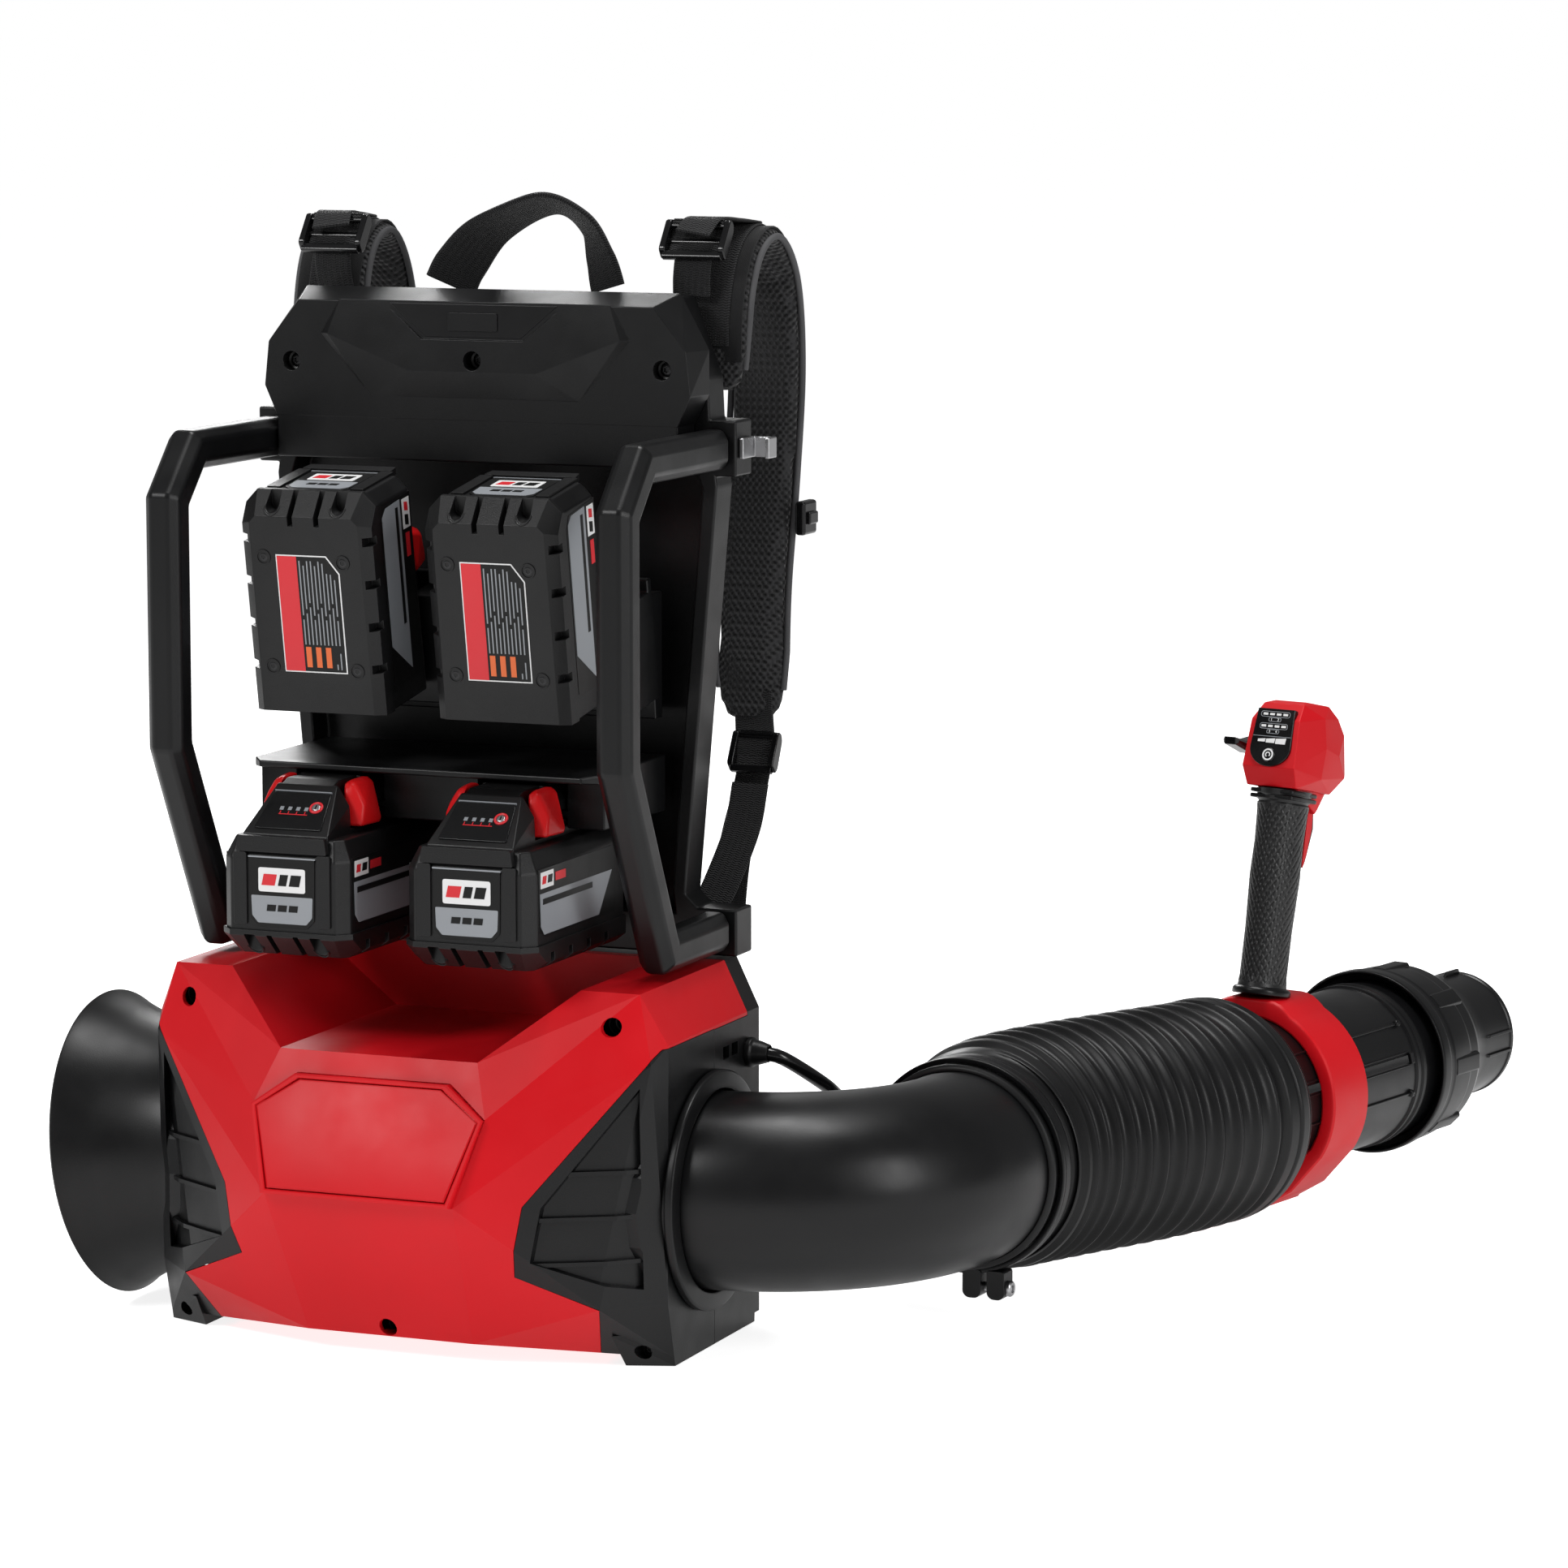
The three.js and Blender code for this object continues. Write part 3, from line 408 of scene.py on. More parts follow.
def fillet(points, radius, steps=4):
    """Closed outline with each corner rounded."""
    made = []
    count = len(points)
    for i in range(count):
        a, b, c = Vector(points[i - 1]), Vector(points[i]), Vector(points[(i + 1) % count])
        before, after = (a - b), (c - b)
        reach = min(radius, before.length * 0.45, after.length * 0.45)
        start, end = b + before.normalized() * reach, b + after.normalized() * reach
        for k in range(steps + 1):
            t = k / steps
            made.append(tuple(start * (1 - t) ** 2 + b * 2 * t * (1 - t) + end * t ** 2))
    return made


def slab(name, outline, low, high, material, place=None, plane="xz", soften=0.0):
    """Outline in a plane, given thickness along the third axis, with softened edges."""
    order = {"xz": lambda a, b, c: (a, c, b), "yz": lambda a, b, c: (c, a, b),
             "xy": lambda a, b, c: (a, b, c)}[plane]
    rows = [[order(a, b, c) for a, b in outline] for c in (low, high)]
    item = add(name, rows, material, place=place, crease=30)
    if soften:
        round_edges(item, soften)
    return item


def block(name, low, high, material, place=None, soften=1.0):
    (x0, y0, z0), (x1, y1, z1) = low, high
    return slab(name, [(x0, y0), (x1, y0), (x1, y1), (x0, y1)], z0, z1, material, place, "xy", soften)


def round_edges(item, width, angle=30, segments=3):
    bevel = item.modifiers.new("round", "BEVEL")
    bevel.width = width * MM
    bevel.segments = segments
    bevel.limit_method = "ANGLE"
    bevel.angle_limit = math.radians(angle)
    bevel.harden_normals = True
    bevel.use_clamp_overlap = True


def hull(name, points, material, place=None, soften=1.0, angle=8):
    shape = bmesh.new()
    for point in points:
        shape.verts.new(Vector(point) * MM)
    made = bmesh.ops.convex_hull(shape, input=shape.verts)
    loose = [v for v in made["geom_interior"] + made["geom_unused"] if isinstance(v, bmesh.types.BMVert)]
    bmesh.ops.delete(shape, geom=list(set(loose)), context="VERTS")
    bmesh.ops.dissolve_limit(shape, angle_limit=math.radians(1), verts=shape.verts, edges=shape.edges)
    mesh = bpy.data.meshes.new(name)
    shape.to_mesh(mesh)
    shape.free()
    item = finish_mesh(name, mesh, material, place, crease=angle)
    if soften:
        round_edges(item, soften, angle)
    return item


def smooth_path(points, steps):
    """Catmull-Rom line through the points, resampled to even steps."""
    path = [Vector(p) for p in points]
    path = [2 * path[0] - path[1], *path, 2 * path[-1] - path[-2]]
    fine = []
    for a, b, c, d in zip(path, path[1:], path[2:], path[3:]):
        for k in range(40):
            t = k / 40
            fine.append(0.5 * (2 * b + (c - a) * t + (2 * a - 5 * b + 4 * c - d) * t * t
                               + (3 * b - a - 3 * c + d) * t ** 3))
    fine.append(path[-2])
    return resample(fine, steps)


def resample(fine, steps):
    lengths = [0.0]
    for a, b in zip(fine, fine[1:]):
        lengths.append(lengths[-1] + (b - a).length)
    made, k = [], 0
    for i in range(steps + 1):
        want = lengths[-1] * i / steps
        while k < len(fine) - 2 and lengths[k + 1] < want:
            k += 1
        share = (want - lengths[k]) / max(lengths[k + 1] - lengths[k], 1e-9)
        made.append(fine[k].lerp(fine[k + 1], min(max(share, 0), 1)))
    return made


def tangents(path):
    count = len(path)
    return [(path[min(i + 1, count - 1)] - path[max(i - 1, 0)]).normalized() for i in range(count)]


def tube_rows(path, radii, steps=96, side=Vector((0, 0, 1))):
    """Rings of points about a path, radius by station."""
    rows = []
    for point, tangent, radius in zip(path, tangents(path), radii):
        up = (side - tangent * side.dot(tangent)).normalized()
        right = tangent.cross(up)
        rows.append([point + (up * math.cos(a) + right * math.sin(a)) * radius
                     for a in (2 * math.pi * k / steps for k in range(steps))])
    return rows


def ribbon_rows(path, section, side):
    """A cross-section of (across, out) points carried along a path; across follows side(i)."""
    rows = []
    for i, (point, tangent) in enumerate(zip(path, tangents(path))):
        want = side(i)
        across = (want - tangent * want.dot(tangent)).normalized()
        out = across.cross(tangent)
        rows.append([point + across * a + out * b for a, b in section])
    return rows


def band_section(width, thickness, edge=0.8, steps=12):
    """Flat band with rounded edges, points evenly spread so that the mesh can carry a weave."""
    w, t, e = width / 2, thickness / 2, min(edge, thickness / 2)
    top = [(-w + e + (2 * w - 2 * e) * k / steps, t) for k in range(steps + 1)]
    return [*top, (w, t - e), (w, -t + e), *[(x, -t) for x, _ in reversed(top)], (-w, -t + e), (-w, t - e)]


def woven(name, rows, section, path, count, material, crease):
    """Webbing from ribbon rows, with u across and v along for its weave; count rows make up the length."""
    length = length_of(path)
    return add(name, rows, material, crease=crease,
               uv=lambda i, j: (section[j % len(section)][0] * MM, length * MM * i / count))


def band(name, points, width, thickness, material, steps=60):
    """Webbing along a smooth line, lying across X."""
    path = smooth_path(points, steps)
    section = band_section(width, thickness, 0.8)
    rows = ribbon_rows(path, section, lambda i: Vector((1, 0, 0)))
    return woven(name, rows, section, path, steps, material, 50)


def dress(node, material, soften, angle=7):
    """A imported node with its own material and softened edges."""
    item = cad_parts[node]
    clear = item.data.attributes.get("custom_normal")
    if clear:
        item.data.attributes.remove(clear)
    item.data.polygons.foreach_set("use_smooth", [True] * len(item.data.polygons))
    if not item.material_slots:
        item.data.materials.append(material)
    for slot in item.material_slots:
        slot.material = material
    weld = item.modifiers.new("weld", "WELD")
    weld.merge_threshold = 0.00002
    flat = item.modifiers.new("flat", "DECIMATE")
    flat.decimate_type = "DISSOLVE"
    flat.angle_limit = math.radians(0.6)
    round_edges(item, soften, angle)


def screw(name, place, radius, body):
    """Pan head with a six-lobed socket, its axis along local -Y (facing the viewer)."""
    depth = radius * 0.35
    rows = []
    steps = 36
    for i in range(steps):
        angle = 2 * math.pi * i / steps
        lobe = radius * (0.42 + 0.07 * math.cos(6 * angle))
        ring = [(0.001, depth), (lobe, depth), (lobe, 0), (radius * 0.62, -0.02 * radius),
                (radius * 0.93, depth * 0.35), (radius, depth), (radius, depth * 2.4), (0.001, depth * 2.4)]
        rows.append([(r * math.sin(angle), y, r * math.cos(angle)) for r, y in ring])
    return put(add(name, rows, SCREW, wrap_rows=True, place=place, crease=40), body)


# ---------- base ----------
AXIS_Y, AXIS_Z = -5, 100
FAN_AXIS = at(0, AXIS_Y, AXIS_Z, -90)


def leaned(point):
    """In the fan-axis frame, where y runs along +X: the intake mouth leans outwards at the top."""
    x, y, z = point
    out = max(0.0, (-176 - y) / 56)
    return (x, y - out * (4 + 0.115 * z), z)


def base_pieces():
    for node, material, soften in (("front_housing", RED, 1.6), ("rear_housing", BLACK, 1.2),
                                   ("side_frame_right", BLACK, 1.0), ("side_frame_left", BLACK, 1.0),
                                   ("fan_duct", BLACK, 0.6), ("motor_stator", STEEL, 0.5),
                                   ("motor_shaft", STEEL, 0.4)):
        dress(node, material, soften)
    badge()
    collar = fillet([(65.4, 140), (71.8, 140), (71.8, 174.4), (75.4, 174.6), (75.4, 180), (63.6, 181),
                     (62.6, 151), (65.4, 151)], 1.6)
    put(turned("outlet_ring", collar, BLACK, FAN_AXIS, 120), "chassis", "outlet_collar", slot="black_plastic")
    intake()
    fan()
    for name, x, y, z in (("right", 144.4, -78.5, 214.5), ("left", -144.4, -78.5, 214.5),
                          ("low", 0, -92, 19)):
        # Painted shade: the screw wells in the red housing are lined in near-black, standing in for the shade
        # inside them.
        shaded_hole = fillet([(6.0, 0.5), (6.0, 9), (4.6, 9.5), (4.6, 12), (6.8, 12), (6.8, 0.5)], 0.4)
        put(turned(f"housing_boss_{name}", shaded_hole, DARK, at(x, y, z), 40), "chassis")
        screw(f"housing_screw_{name}", at(x, y + 8, z), 4.4, "chassis")
    for side, x in (("right", 158), ("left", -158)):
        screw(f"foot_screw_{side}", at(x, -63, 10), 4.0, "chassis")
    gland = fillet([(4.7, 0), (9.6, 0), (9.6, 3.2), (8.2, 4.4), (7.4, 8.4), (5.6, 14), (4.7, 14)], 0.7)
    place = at(174.4, 58, 176, -90)
    put(turned("gland_boot", gland, RUBBER, place, 48), "chassis", "cable_gland", slot="black_rubber")


def badge():
    """Plain hexagonal badge: a field and a fine raised border round it."""
    def on_face(x, z, lift=0.0):
        return (x, -127.2 + (z - 179) * 0.355 - lift, z)

    def ring(scale_x, scale_z, lift):
        rim = [(51.8, 179), (78.6, 160), (64, 108)]
        half = [((x - scale_x), 143.5 + (z - 143.5) * scale_z) for x, z in rim]
        return [on_face(x, z, lift) for x, z in both_halves(half)]

    border = [ring(0, 1.0, -4.5), ring(0, 1.0, 0.4), ring(0.9, 0.975, 0.9), ring(2.4, 0.945, 0.9),
              ring(3.0, 0.93, 0.35), ring(3.2, 0.925, -4.5)]
    put(add("badge_border", border, RED, wrap_rows=True, crease=20), "chassis", slot="red_plastic")
    field = [ring(3.9, 0.905, -4.5), ring(3.9, 0.905, -0.2), ring(4.8, 0.88, 0.25)]
    put(add("badge_field", field, RED, crease=20), "chassis", slot="red_plastic")


def intake():
    flare = [(75, -165), (75, -175), (78.5, -192), (85, -211), (92, -225), (96.5, -232)]
    outer = smooth_path([(r, x, 0) for r, x in flare], 26)
    inner = [(p[0] - 3, p[1] + 0.4) for p in reversed(outer)]
    lip = [(97.2, -232.8), (96.2, -234.0), (94.4, -233.6)]
    profile = [(p[0], p[1]) for p in outer] + lip + inner
    put(turned("intake_horn", profile, BLACK, FAN_AXIS, 128, 30, leaned), "chassis", "intake_bell",
        slot="black_plastic")
    for i, z in enumerate((28, 0, -28)):
        blade = [(math.sqrt(max(r * r - z * z, 0)), y)
                 for r, y in ((78.2, -178), (81.5, -192), (84.8, -207), (88, -214))]
        rows = []
        for thick in (-1.3, 1.3):
            rows.append([leaned((-(x + 0.4), y, z + thick)) for x, y in blade] +
                        [leaned((-(x - 5), y, z + thick)) for x, y in reversed(blade)])
        rib = add(f"horn_rib_{i}", rows, BLACK, place=FAN_AXIS)
        round_edges(rib, 0.5)
        put(rib, "chassis")
    rings = []
    for i, r in enumerate((24, 46, 67.6)):
        wire = fillet([(r - 1.4, -160), (r + 1.4, -160), (r + 1.4, -156.6), (r - 1.4, -156.6)], 0.7)
        rings.append(turned(f"guard_ring_{i}", wire, BLACK, FAN_AXIS, 80))
    put(rings[0], "chassis", "intake_guard", slot="black_plastic")
    put(rings[1], "chassis")
    put(rings[2], "chassis")
    for k in range(8):
        spoke = fillet([(-1.1, 5), (1.1, 5), (1.6, 67), (-1.6, 67)], 0.5)
        put(slab(f"guard_spoke_{k}", spoke, -159.6, -157, BLACK, FAN_AXIS @ spin(k * 45, "Y"), "xz", 0.3),
            "chassis")
    hub = fillet([(0.02, -161), (5, -160.6), (6.6, -158.8), (6.6, -156.8), (0.02, -156.8)], 0.8)
    put(turned("guard_hub", hub, BLACK, FAN_AXIS, 40), "chassis")


def fan():
    hub = fillet([(5.3, -36), (27.6, -36), (28, -66), (24, -76), (14, -84.5), (0.05, -88), (0.05, -60),
                  (5.3, -60)], 2.5)
    put(turned("fan_hub", hub, SMOOTH, FAN_AXIS, 72), "rotor", "impeller", slot="black_plastic")
    for k in range(9):
        rows = []
        for i in range(13):
            r = 26 + (68.2 - 26) * i / 12
            pitch = math.radians(56 - 26 * i / 12)
            chord = 15.5 + 2.5 * math.sin(math.pi * i / 12)
            ring = []
            for s, t in ((-1, 0), (-0.6, 0.9), (0, 1.35), (0.6, 0.9), (1, 0.1), (0.6, -0.5), (0, -0.7),
                         (-0.6, -0.4)):
                along, thick = s * chord, t + 2.2 * (1 - s * s)
                ring.append((along * math.sin(pitch) + thick * math.cos(pitch),
                             -56 - along * math.cos(pitch) * 0.9 + thick * math.sin(pitch), r))
            rows.append(ring)
        put(add(f"fan_blade_{k}", rows, SMOOTH, place=FAN_AXIS @ spin(k * 40, "Y"), crease=60), "rotor")


# ---------- elbow, hose and tube ----------
ELBOW_BEND, ELBOW_ANGLE = 125, 86
HOSE_END = Vector((385.7, 360, 100))
TUBE = at(385.7, 360, 100, -13)


def heading(angle):
    return Vector((math.cos(math.radians(angle)), math.sin(math.radians(angle)), 0))


def elbow_line():
    steps = 60
    bend_from = Vector((170, AXIS_Y, AXIS_Z))
    line = [Vector((153, AXIS_Y, AXIS_Z))]
    for i in range(steps + 1):
        angle = math.radians(ELBOW_ANGLE * i / steps)
        line.append(bend_from + Vector((math.sin(angle), 1 - math.cos(angle), 0)) * ELBOW_BEND)
    line.append(line[-1] + heading(ELBOW_ANGLE) * 24)
    return resample(line, steps + 20)


ELBOW_END = elbow_line()[-1]
CUFF_START = ELBOW_END - heading(ELBOW_ANGLE) * 22
HOSE_START = ELBOW_END + heading(ELBOW_ANGLE) * 14
CLAMP = Matrix.Translation((CUFF_START + heading(ELBOW_ANGLE) * 14) * MM) @ spin(ELBOW_ANGLE - 90, "Z")


def hose_line(steps):
    a, d = HOSE_START, HOSE_END
    b, c = a + heading(82) * 70, d - heading(77) * 75
    fine = [CUFF_START.lerp(a, k / 20) for k in range(20)]
    for k in range(121):
        t = k / 120
        fine.append(a * (1 - t) ** 3 + b * 3 * t * (1 - t) ** 2 + c * 3 * t * t * (1 - t) + d * t ** 3)
    return resample(fine, steps), length_of(fine)


def stepped(table, s):
    """Radius at distance s from a table of (distance, radius)."""
    for (s0, r0), (s1, r1) in zip(table, table[1:]):
        if s <= s1:
            return r0 + (r1 - r0) * max(0.0, (s - s0) / (s1 - s0))
    return table[-1][1]


def hose_radius(s, length):
    """Stepped cuff, wide shoulder, twelve round ribs, plain end band."""
    cuff = [(0, 64.2), (1.5, 66.0), (4.5, 66.2), (5.5, 64.9), (21, 64.9), (22.5, 66.6), (26.5, 66.8),
            (27.3, 65.4), (28.6, 65.4), (29.6, 67.4), (33, 68.0), (38, 70.5), (41.5, 71.0), (43, 69.8),
            (44.6, 69.8), (49, 74.2), (53, 74.6), (55, 72.6)]
    ribs_from, ribs_to, count = 55.0, length - 21, 12
    if s <= ribs_from:
        return stepped(cuff, s)
    if s >= ribs_to:
        end = [(ribs_to, 72.6), (ribs_to + 2.5, 75.4), (ribs_to + 9, 75.8), (ribs_to + 10, 74.2),
               (ribs_to + 11.4, 74.2), (ribs_to + 12.4, 75.8), (length - 2, 75.2), (length, 73.0)]
        return stepped(end, s)
    turn = (s - ribs_from) / (ribs_to - ribs_from) * count
    u = (turn % 1) - 0.5
    swell = 1 - 0.25 * abs(2 * (s - ribs_from) / (ribs_to - ribs_from) - 1) ** 3
    return 71.6 + (4.9 * math.exp(-(u / 0.2) ** 2) + 0.25 * math.cos(2 * math.pi * u)) * swell


def air_pieces():
    line = elbow_line()
    outer = tube_rows(line, [62] * len(line))
    inner = tube_rows(line, [59] * len(line))
    put(add("elbow_pipe", outer + inner[::-1], ELBOW, wrap_rows=True, crease=60), "elbow", "elbow",
        slot="gloss_black")
    hose()
    clamp()
    straight_tube()
    collar_and_nozzle()


def hose():
    steps = 330
    path, length = hose_line(steps)
    outer = tube_rows(path, [hose_radius(length * i / steps, length) for i in range(steps + 1)], 120)
    short = path[::6]
    inner = tube_rows(short, [62.5 if length * i * 6 / steps < 34 else 65.5 for i in range(len(short))], 120)
    item = add("hose_bellows", outer + inner[::-1], RUBBER, wrap_rows=True, crease=42)
    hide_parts("bellows")
    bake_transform(item)


def clamp():
    ring = [(66.0, -5.5), (69.4, -6), (69.9, -4), (69.2, 0), (69.9, 4), (69.4, 6), (66.0, 5.5)]
    put(turned("clamp_band", fillet(ring, 0.7, 3), SMOOTH, CLAMP), "elbow", "hose_clamp",
        slot="black_plastic")
    for name, x0, x1 in (("near", 0, 12.6), ("far", 16.8, 29)):
        lug = fillet([(x0, -66), (x0, -82), (x0 + 3, -84.8), (x1 - 3, -84.8), (x1, -82), (x1, -66)], 2.0, 3)
        put(slab(f"clamp_lug_{name}", lug, -7, 7, SMOOTH, CLAMP, "xz", 1.0), "elbow")
    rod = [(0.02, -1.6), (2.9, -1.6), (2.9, 28.6), (5.0, 28.8), (5.2, 31.0), (4.2, 32.2), (2.4, 32.2),
           (2.2, 30.4), (0.02, 30.4)]
    place = CLAMP @ at(0, 0, -77.9, -90)
    put(turned("clamp_bolt", fillet(rod, 0.4, 3), STEEL, place, 40), "elbow", "clamp_screw", slot="steel")


def around(place, angle):
    """Frame on the tube's side: local z points outwards, angle measured from +X towards +Z."""
    return place @ spin(90 - angle, "Y")


def straight_tube():
    cuff = [(56.4, 0.6), (72.4, 0.6), (73.4, 2.2), (72.0, 4.2), (66.4, 5.6), (65.2, 7.2), (64.8, 10.6),
            (63.6, 11.4), (63.2, 17), (61.6, 18), (56.4, 18)]
    put(turned("hose_end_cuff", fillet(cuff, 0.8, 2), SMOOTH, TUBE, 120), "hose_end", "hose_cuff",
        slot="black_plastic")
    put(block("cable_socket", (-91, 5.5, -15), (-58, 17.8, 1), SMOOTH, TUBE, 2.2), "hose_end")
    wall = [(52.5, -24), (55.5, -24), (55.5, 176.5), (57.0, 177.5), (57.0, 180), (56.0, 181), (56.0, 184.5),
            (57.2, 185.5), (57.2, 189), (55.5, 190), (55.5, 216), (52.5, 216)]
    put(turned("tube_wall", wall, SMOOTH, TUBE, 128, 20), "tube", "swivel_tube", slot="black_plastic")
    for side, angle in (("upper", 40), ("lower", -11)):
        place = around(TUBE, angle)
        rail = fillet([(-0.9, 54.6), (0.9, 54.6), (0.7, 57.1), (-0.7, 57.1)], 0.4, 2)
        put(slab(f"tube_rail_{side}", rail, 19, 170, SMOOTH, place, "xz", 0.25), "tube")
        knob = fillet([(0.02, 54), (2.6, 54), (2.6, 57.6), (1.8, 58.8), (0.02, 58.8)], 0.7, 3)
        turn = place @ at(0, 170, 0, 90, "X")
        put(turned(f"tube_knob_{side}", knob, SMOOTH, turn, 28), "tube")
    ratchet()


def ratchet():
    """Fine-toothed strip along the tube's side and the peg at its end."""
    place = around(TUBE, 14)
    pitch, start, end = 1.6, 22, 166
    rows = []
    for i in range(int((end - start) / pitch)):
        y = start + i * pitch
        rows += [(y, 56.1), (y + pitch * 0.75, 57.2)]
    sheet = [[(x, y, z - (0.25 if abs(x) > 2 else 0)) for x in (-2.6, -1.9, 1.9, 2.6)] for y, z in rows]
    under = [[(x, y, 54.6) for x in (2.6, 1.9, -1.9, -2.6)] for y, z in rows]
    put(add("tube_ratchet", [a + b for a, b in zip(sheet, under)], SMOOTH, place=place, crease=25), "tube")
    for k, x in enumerate((-4.6, 4.6)):
        edge = fillet([(x - 0.6, 54.8), (x + 0.6, 54.8), (x + 0.5, 56.3), (x - 0.5, 56.3)], 0.3, 2)
        put(slab(f"ratchet_edge_{k}", edge, start - 2, end + 3, SMOOTH, place, "xz", 0.2), "tube")
    put(block("ratchet_stop", (-4, 168.5, 54.4), (4, 172.5, 58.2), SMOOTH, place, 0.9), "tube")


def collar_and_nozzle():
    profile = [(56.2, 212), (61.2, 210), (61.8, 203), (62.6, 202), (63.8, 202.2), (64.3, 204), (64.2, 212),
               (62.6, 215), (62.6, 219), (63.0, 221), (62.0, 244), (61.2, 246), (60.8, 257), (59, 262),
               (57.6, 264), (53.4, 264), (53.4, 218), (56.2, 217)]
    put(turned("collar_shell", fillet(profile, 0.9, 3), SMOOTH, TUBE, 128, 28), "lock_collar", "lock_collar",
        slot="black_plastic")
    for k in range(8):
        lug = fillet([(-7, 61), (-5.5, 63.4), (5.5, 63.4), (7, 61), (6, 58), (-6, 58)], 0.8, 2)
        put(slab(f"collar_lug_{k}", lug, 222, 254, SMOOTH, TUBE @ spin(k * 45, "Y"), "xz", 0.9),
            "lock_collar")
    outer = [(52.1, 190), (52.1, 262), (51.4, 267), (49.4, 275), (45.6, 287), (44.2, 293), (43.7, 300),
             (43.2, 336), (44.0, 337), (44.0, 340)]
    inner = [(r - 2.4, y) for r, y in reversed(outer[:-2])]
    pipe = [*outer, (42.0, 340.6), (40.8, 340), *inner]
    put(turned("nozzle_pipe", pipe, SMOOTH, TUBE, 120, 30), "nozzle", "nozzle", slot="black_plastic")
    for k, (low, high, y0) in enumerate(((42, 46.6, 316), (42, 45.2, 300), (42, 46.6, 316), (42, 45.2, 300))):
        for twist in ((-9, 9) if k % 2 else (0,)):
            place = TUBE @ spin(k * 90 + twist, "Y")
            rib = [(y0, low), (y0 + 4, high), (337, high), (339, low)]
            put(slab(f"nozzle_rib_{k}_{twist + 9}", rib, -1.1, 1.1, SMOOTH, place, "yz", 0.5), "nozzle")


# ---------- cable ----------
ROUTE = [[176, 58, 176], [184, 59, 175.6], [196, 64, 172], [212, 92, 152], [213, 140, 128], [222, 190, 112],
         [244, 250, 102], [275, 320, 96], [292, 352, 94], [304.9, 378.9, 93], [307.7, 391, 93]]


def cable_pieces():
    path = smooth_path(ROUTE, 72)
    split = min(range(len(path)), key=lambda i: (path[i] - Vector(ROUTE[5])).length)
    near, far = path[:split + 1], path[split:-3]
    for name, part, a, b, start, end in (("cable_near", near, "chassis", "elbow", ROUTE[1], ROUTE[4]),
                                         ("cable_far", far, "elbow", "hose_end", ROUTE[6], ROUTE[9])):
        item = add(name, tube_rows(part, [4.5] * len(part), 24), GLOSS, crease=60)
        if name == "cable_near":
            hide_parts("control_cable")
        with_pieces = [cable_sleeve(path, split)] if name == "cable_near" else []
        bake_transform(item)


def cable_sleeve(path, split):
    """Moulded sleeve that joins the two lengths of cable."""
    middle = path[split - 3:split + 4]
    radii = [4.9, 5.9, 6.2, 6.2, 6.2, 5.9, 4.9]
    return put(add("cable_sleeve", tube_rows(middle, radii, 32), RUBBER, crease=50), "elbow")


# ---------- frame ----------
PANEL_SCREWS = ((-127.9, 606), (0, 609), (127.9, 606))


def frame_pieces():
    for node, soften in (("back_plate", 1.6), ("lower_mount", 1.2), ("upper_mount", 1.2),
                         ("bumper_right", 2.2), ("bumper_left", 2.2)):
        dress(node, BLACK, soften)
    dress("hose_hook", STEEL, 0.8)
    front_panel()
    for k, (x, z) in enumerate(PANEL_SCREWS):
        boss = fillet([(5.9, 0.3), (5.9, 8), (4.4, 8.4), (4.4, 10), (7, 10), (7, 0.3)], 0.3, 2)
        put(turned(f"panel_boss_{k}", boss, DARK, at(x, 30.4, z), 40), "chassis")
        screw(f"panel_screw_{k}", at(x, 37.5, z), 4.2, "chassis")
    for side, x in (("right", 166), ("left", -166)):
        screw(f"hook_screw_{side}", at(x - math.copysign(1.6, x), 71, 569, 90 if x > 0 else -90), 2.6,
              "chassis")


def front_panel():
    """Upper panel: faceted shell, raised trapezoid with a recess for the plain emblem, three screw wells."""
    face, back = 30, 57.4
    front = [(138.5, 571), (147, 590), (144, 618), (122, 645)]
    rear = [(138.5, 571), (148.6, 590), (148.6, 618), (129.6, 652.6)]
    wells = [disc(x, z, 6) for x, z in PANEL_SCREWS]
    points = [(x, face, z) for x, z in front] + [(x, back, z) for x, z in rear]
    shell = hull("panel_shell", mirrored_x(points), BLACK, None, 0)
    carve(shell, wells, "xz", 20, 41)
    round_edges(shell, 1.4, 8)
    put(shell, "chassis", "front_panel")
    skirt = mirrored_x([(138.4, face, 545), (138.4, back, 545), (138.4, face + 0.1, 575), (138.4, back, 575)])
    put(hull("panel_skirt", skirt, BLACK, None, 1.2), "chassis")
    points = [(72, face + 1, 585), (107, face + 1, 624), (72, face, 585), (107, face, 624),
              (44, face - 4, 602), (101, face - 3.2, 624), (93, face - 0.6, 646), (93, face + 1, 646)]
    step = hull("panel_step", mirrored_x(points), BLACK, None, 0)
    carve(step, wells[1:2], "xz", 20, face + 2)
    carve(step, [[(-35, 622), (35, 622), (66, 648), (-66, 648)]], "xz", 20, face - 1.2)
    round_edges(step, 0.7, 5)
    put(step, "chassis")
    floor = [(-33, 623.5), (33, 623.5), (58, 644.4), (-58, 644.4)]
    put(slab("panel_recess", floor, face - 1.6, face + 1, SMOOTH, None, "xz", 0.5), "chassis")
    emblem = fillet([(-17, 627.5), (17, 627.5), (17, 639), (-17, 639)], 1.2, 3)
    put(slab("panel_emblem", emblem, face - 2.6, face, BLACK, None, "xz", 0.5), "chassis")


# ---------- battery packs ----------
PACK_L, PACK_TOP, PACK_TOWER = 140, 74, 32
HOOK_X = 22.5                      # hook mouths in the bevelled front edge
LOWER_POSE = at(0, 20, 249)
UPPER_POSE = at(0, -66.3, 393, -80.6, "X")


def facing(place, x, y, z, lean=0.0, turn=0.0):
    """A label frame: local x across, local z up, local -y out of the face."""
    return place @ at(x, y, z, turn) @ spin(lean, "X")


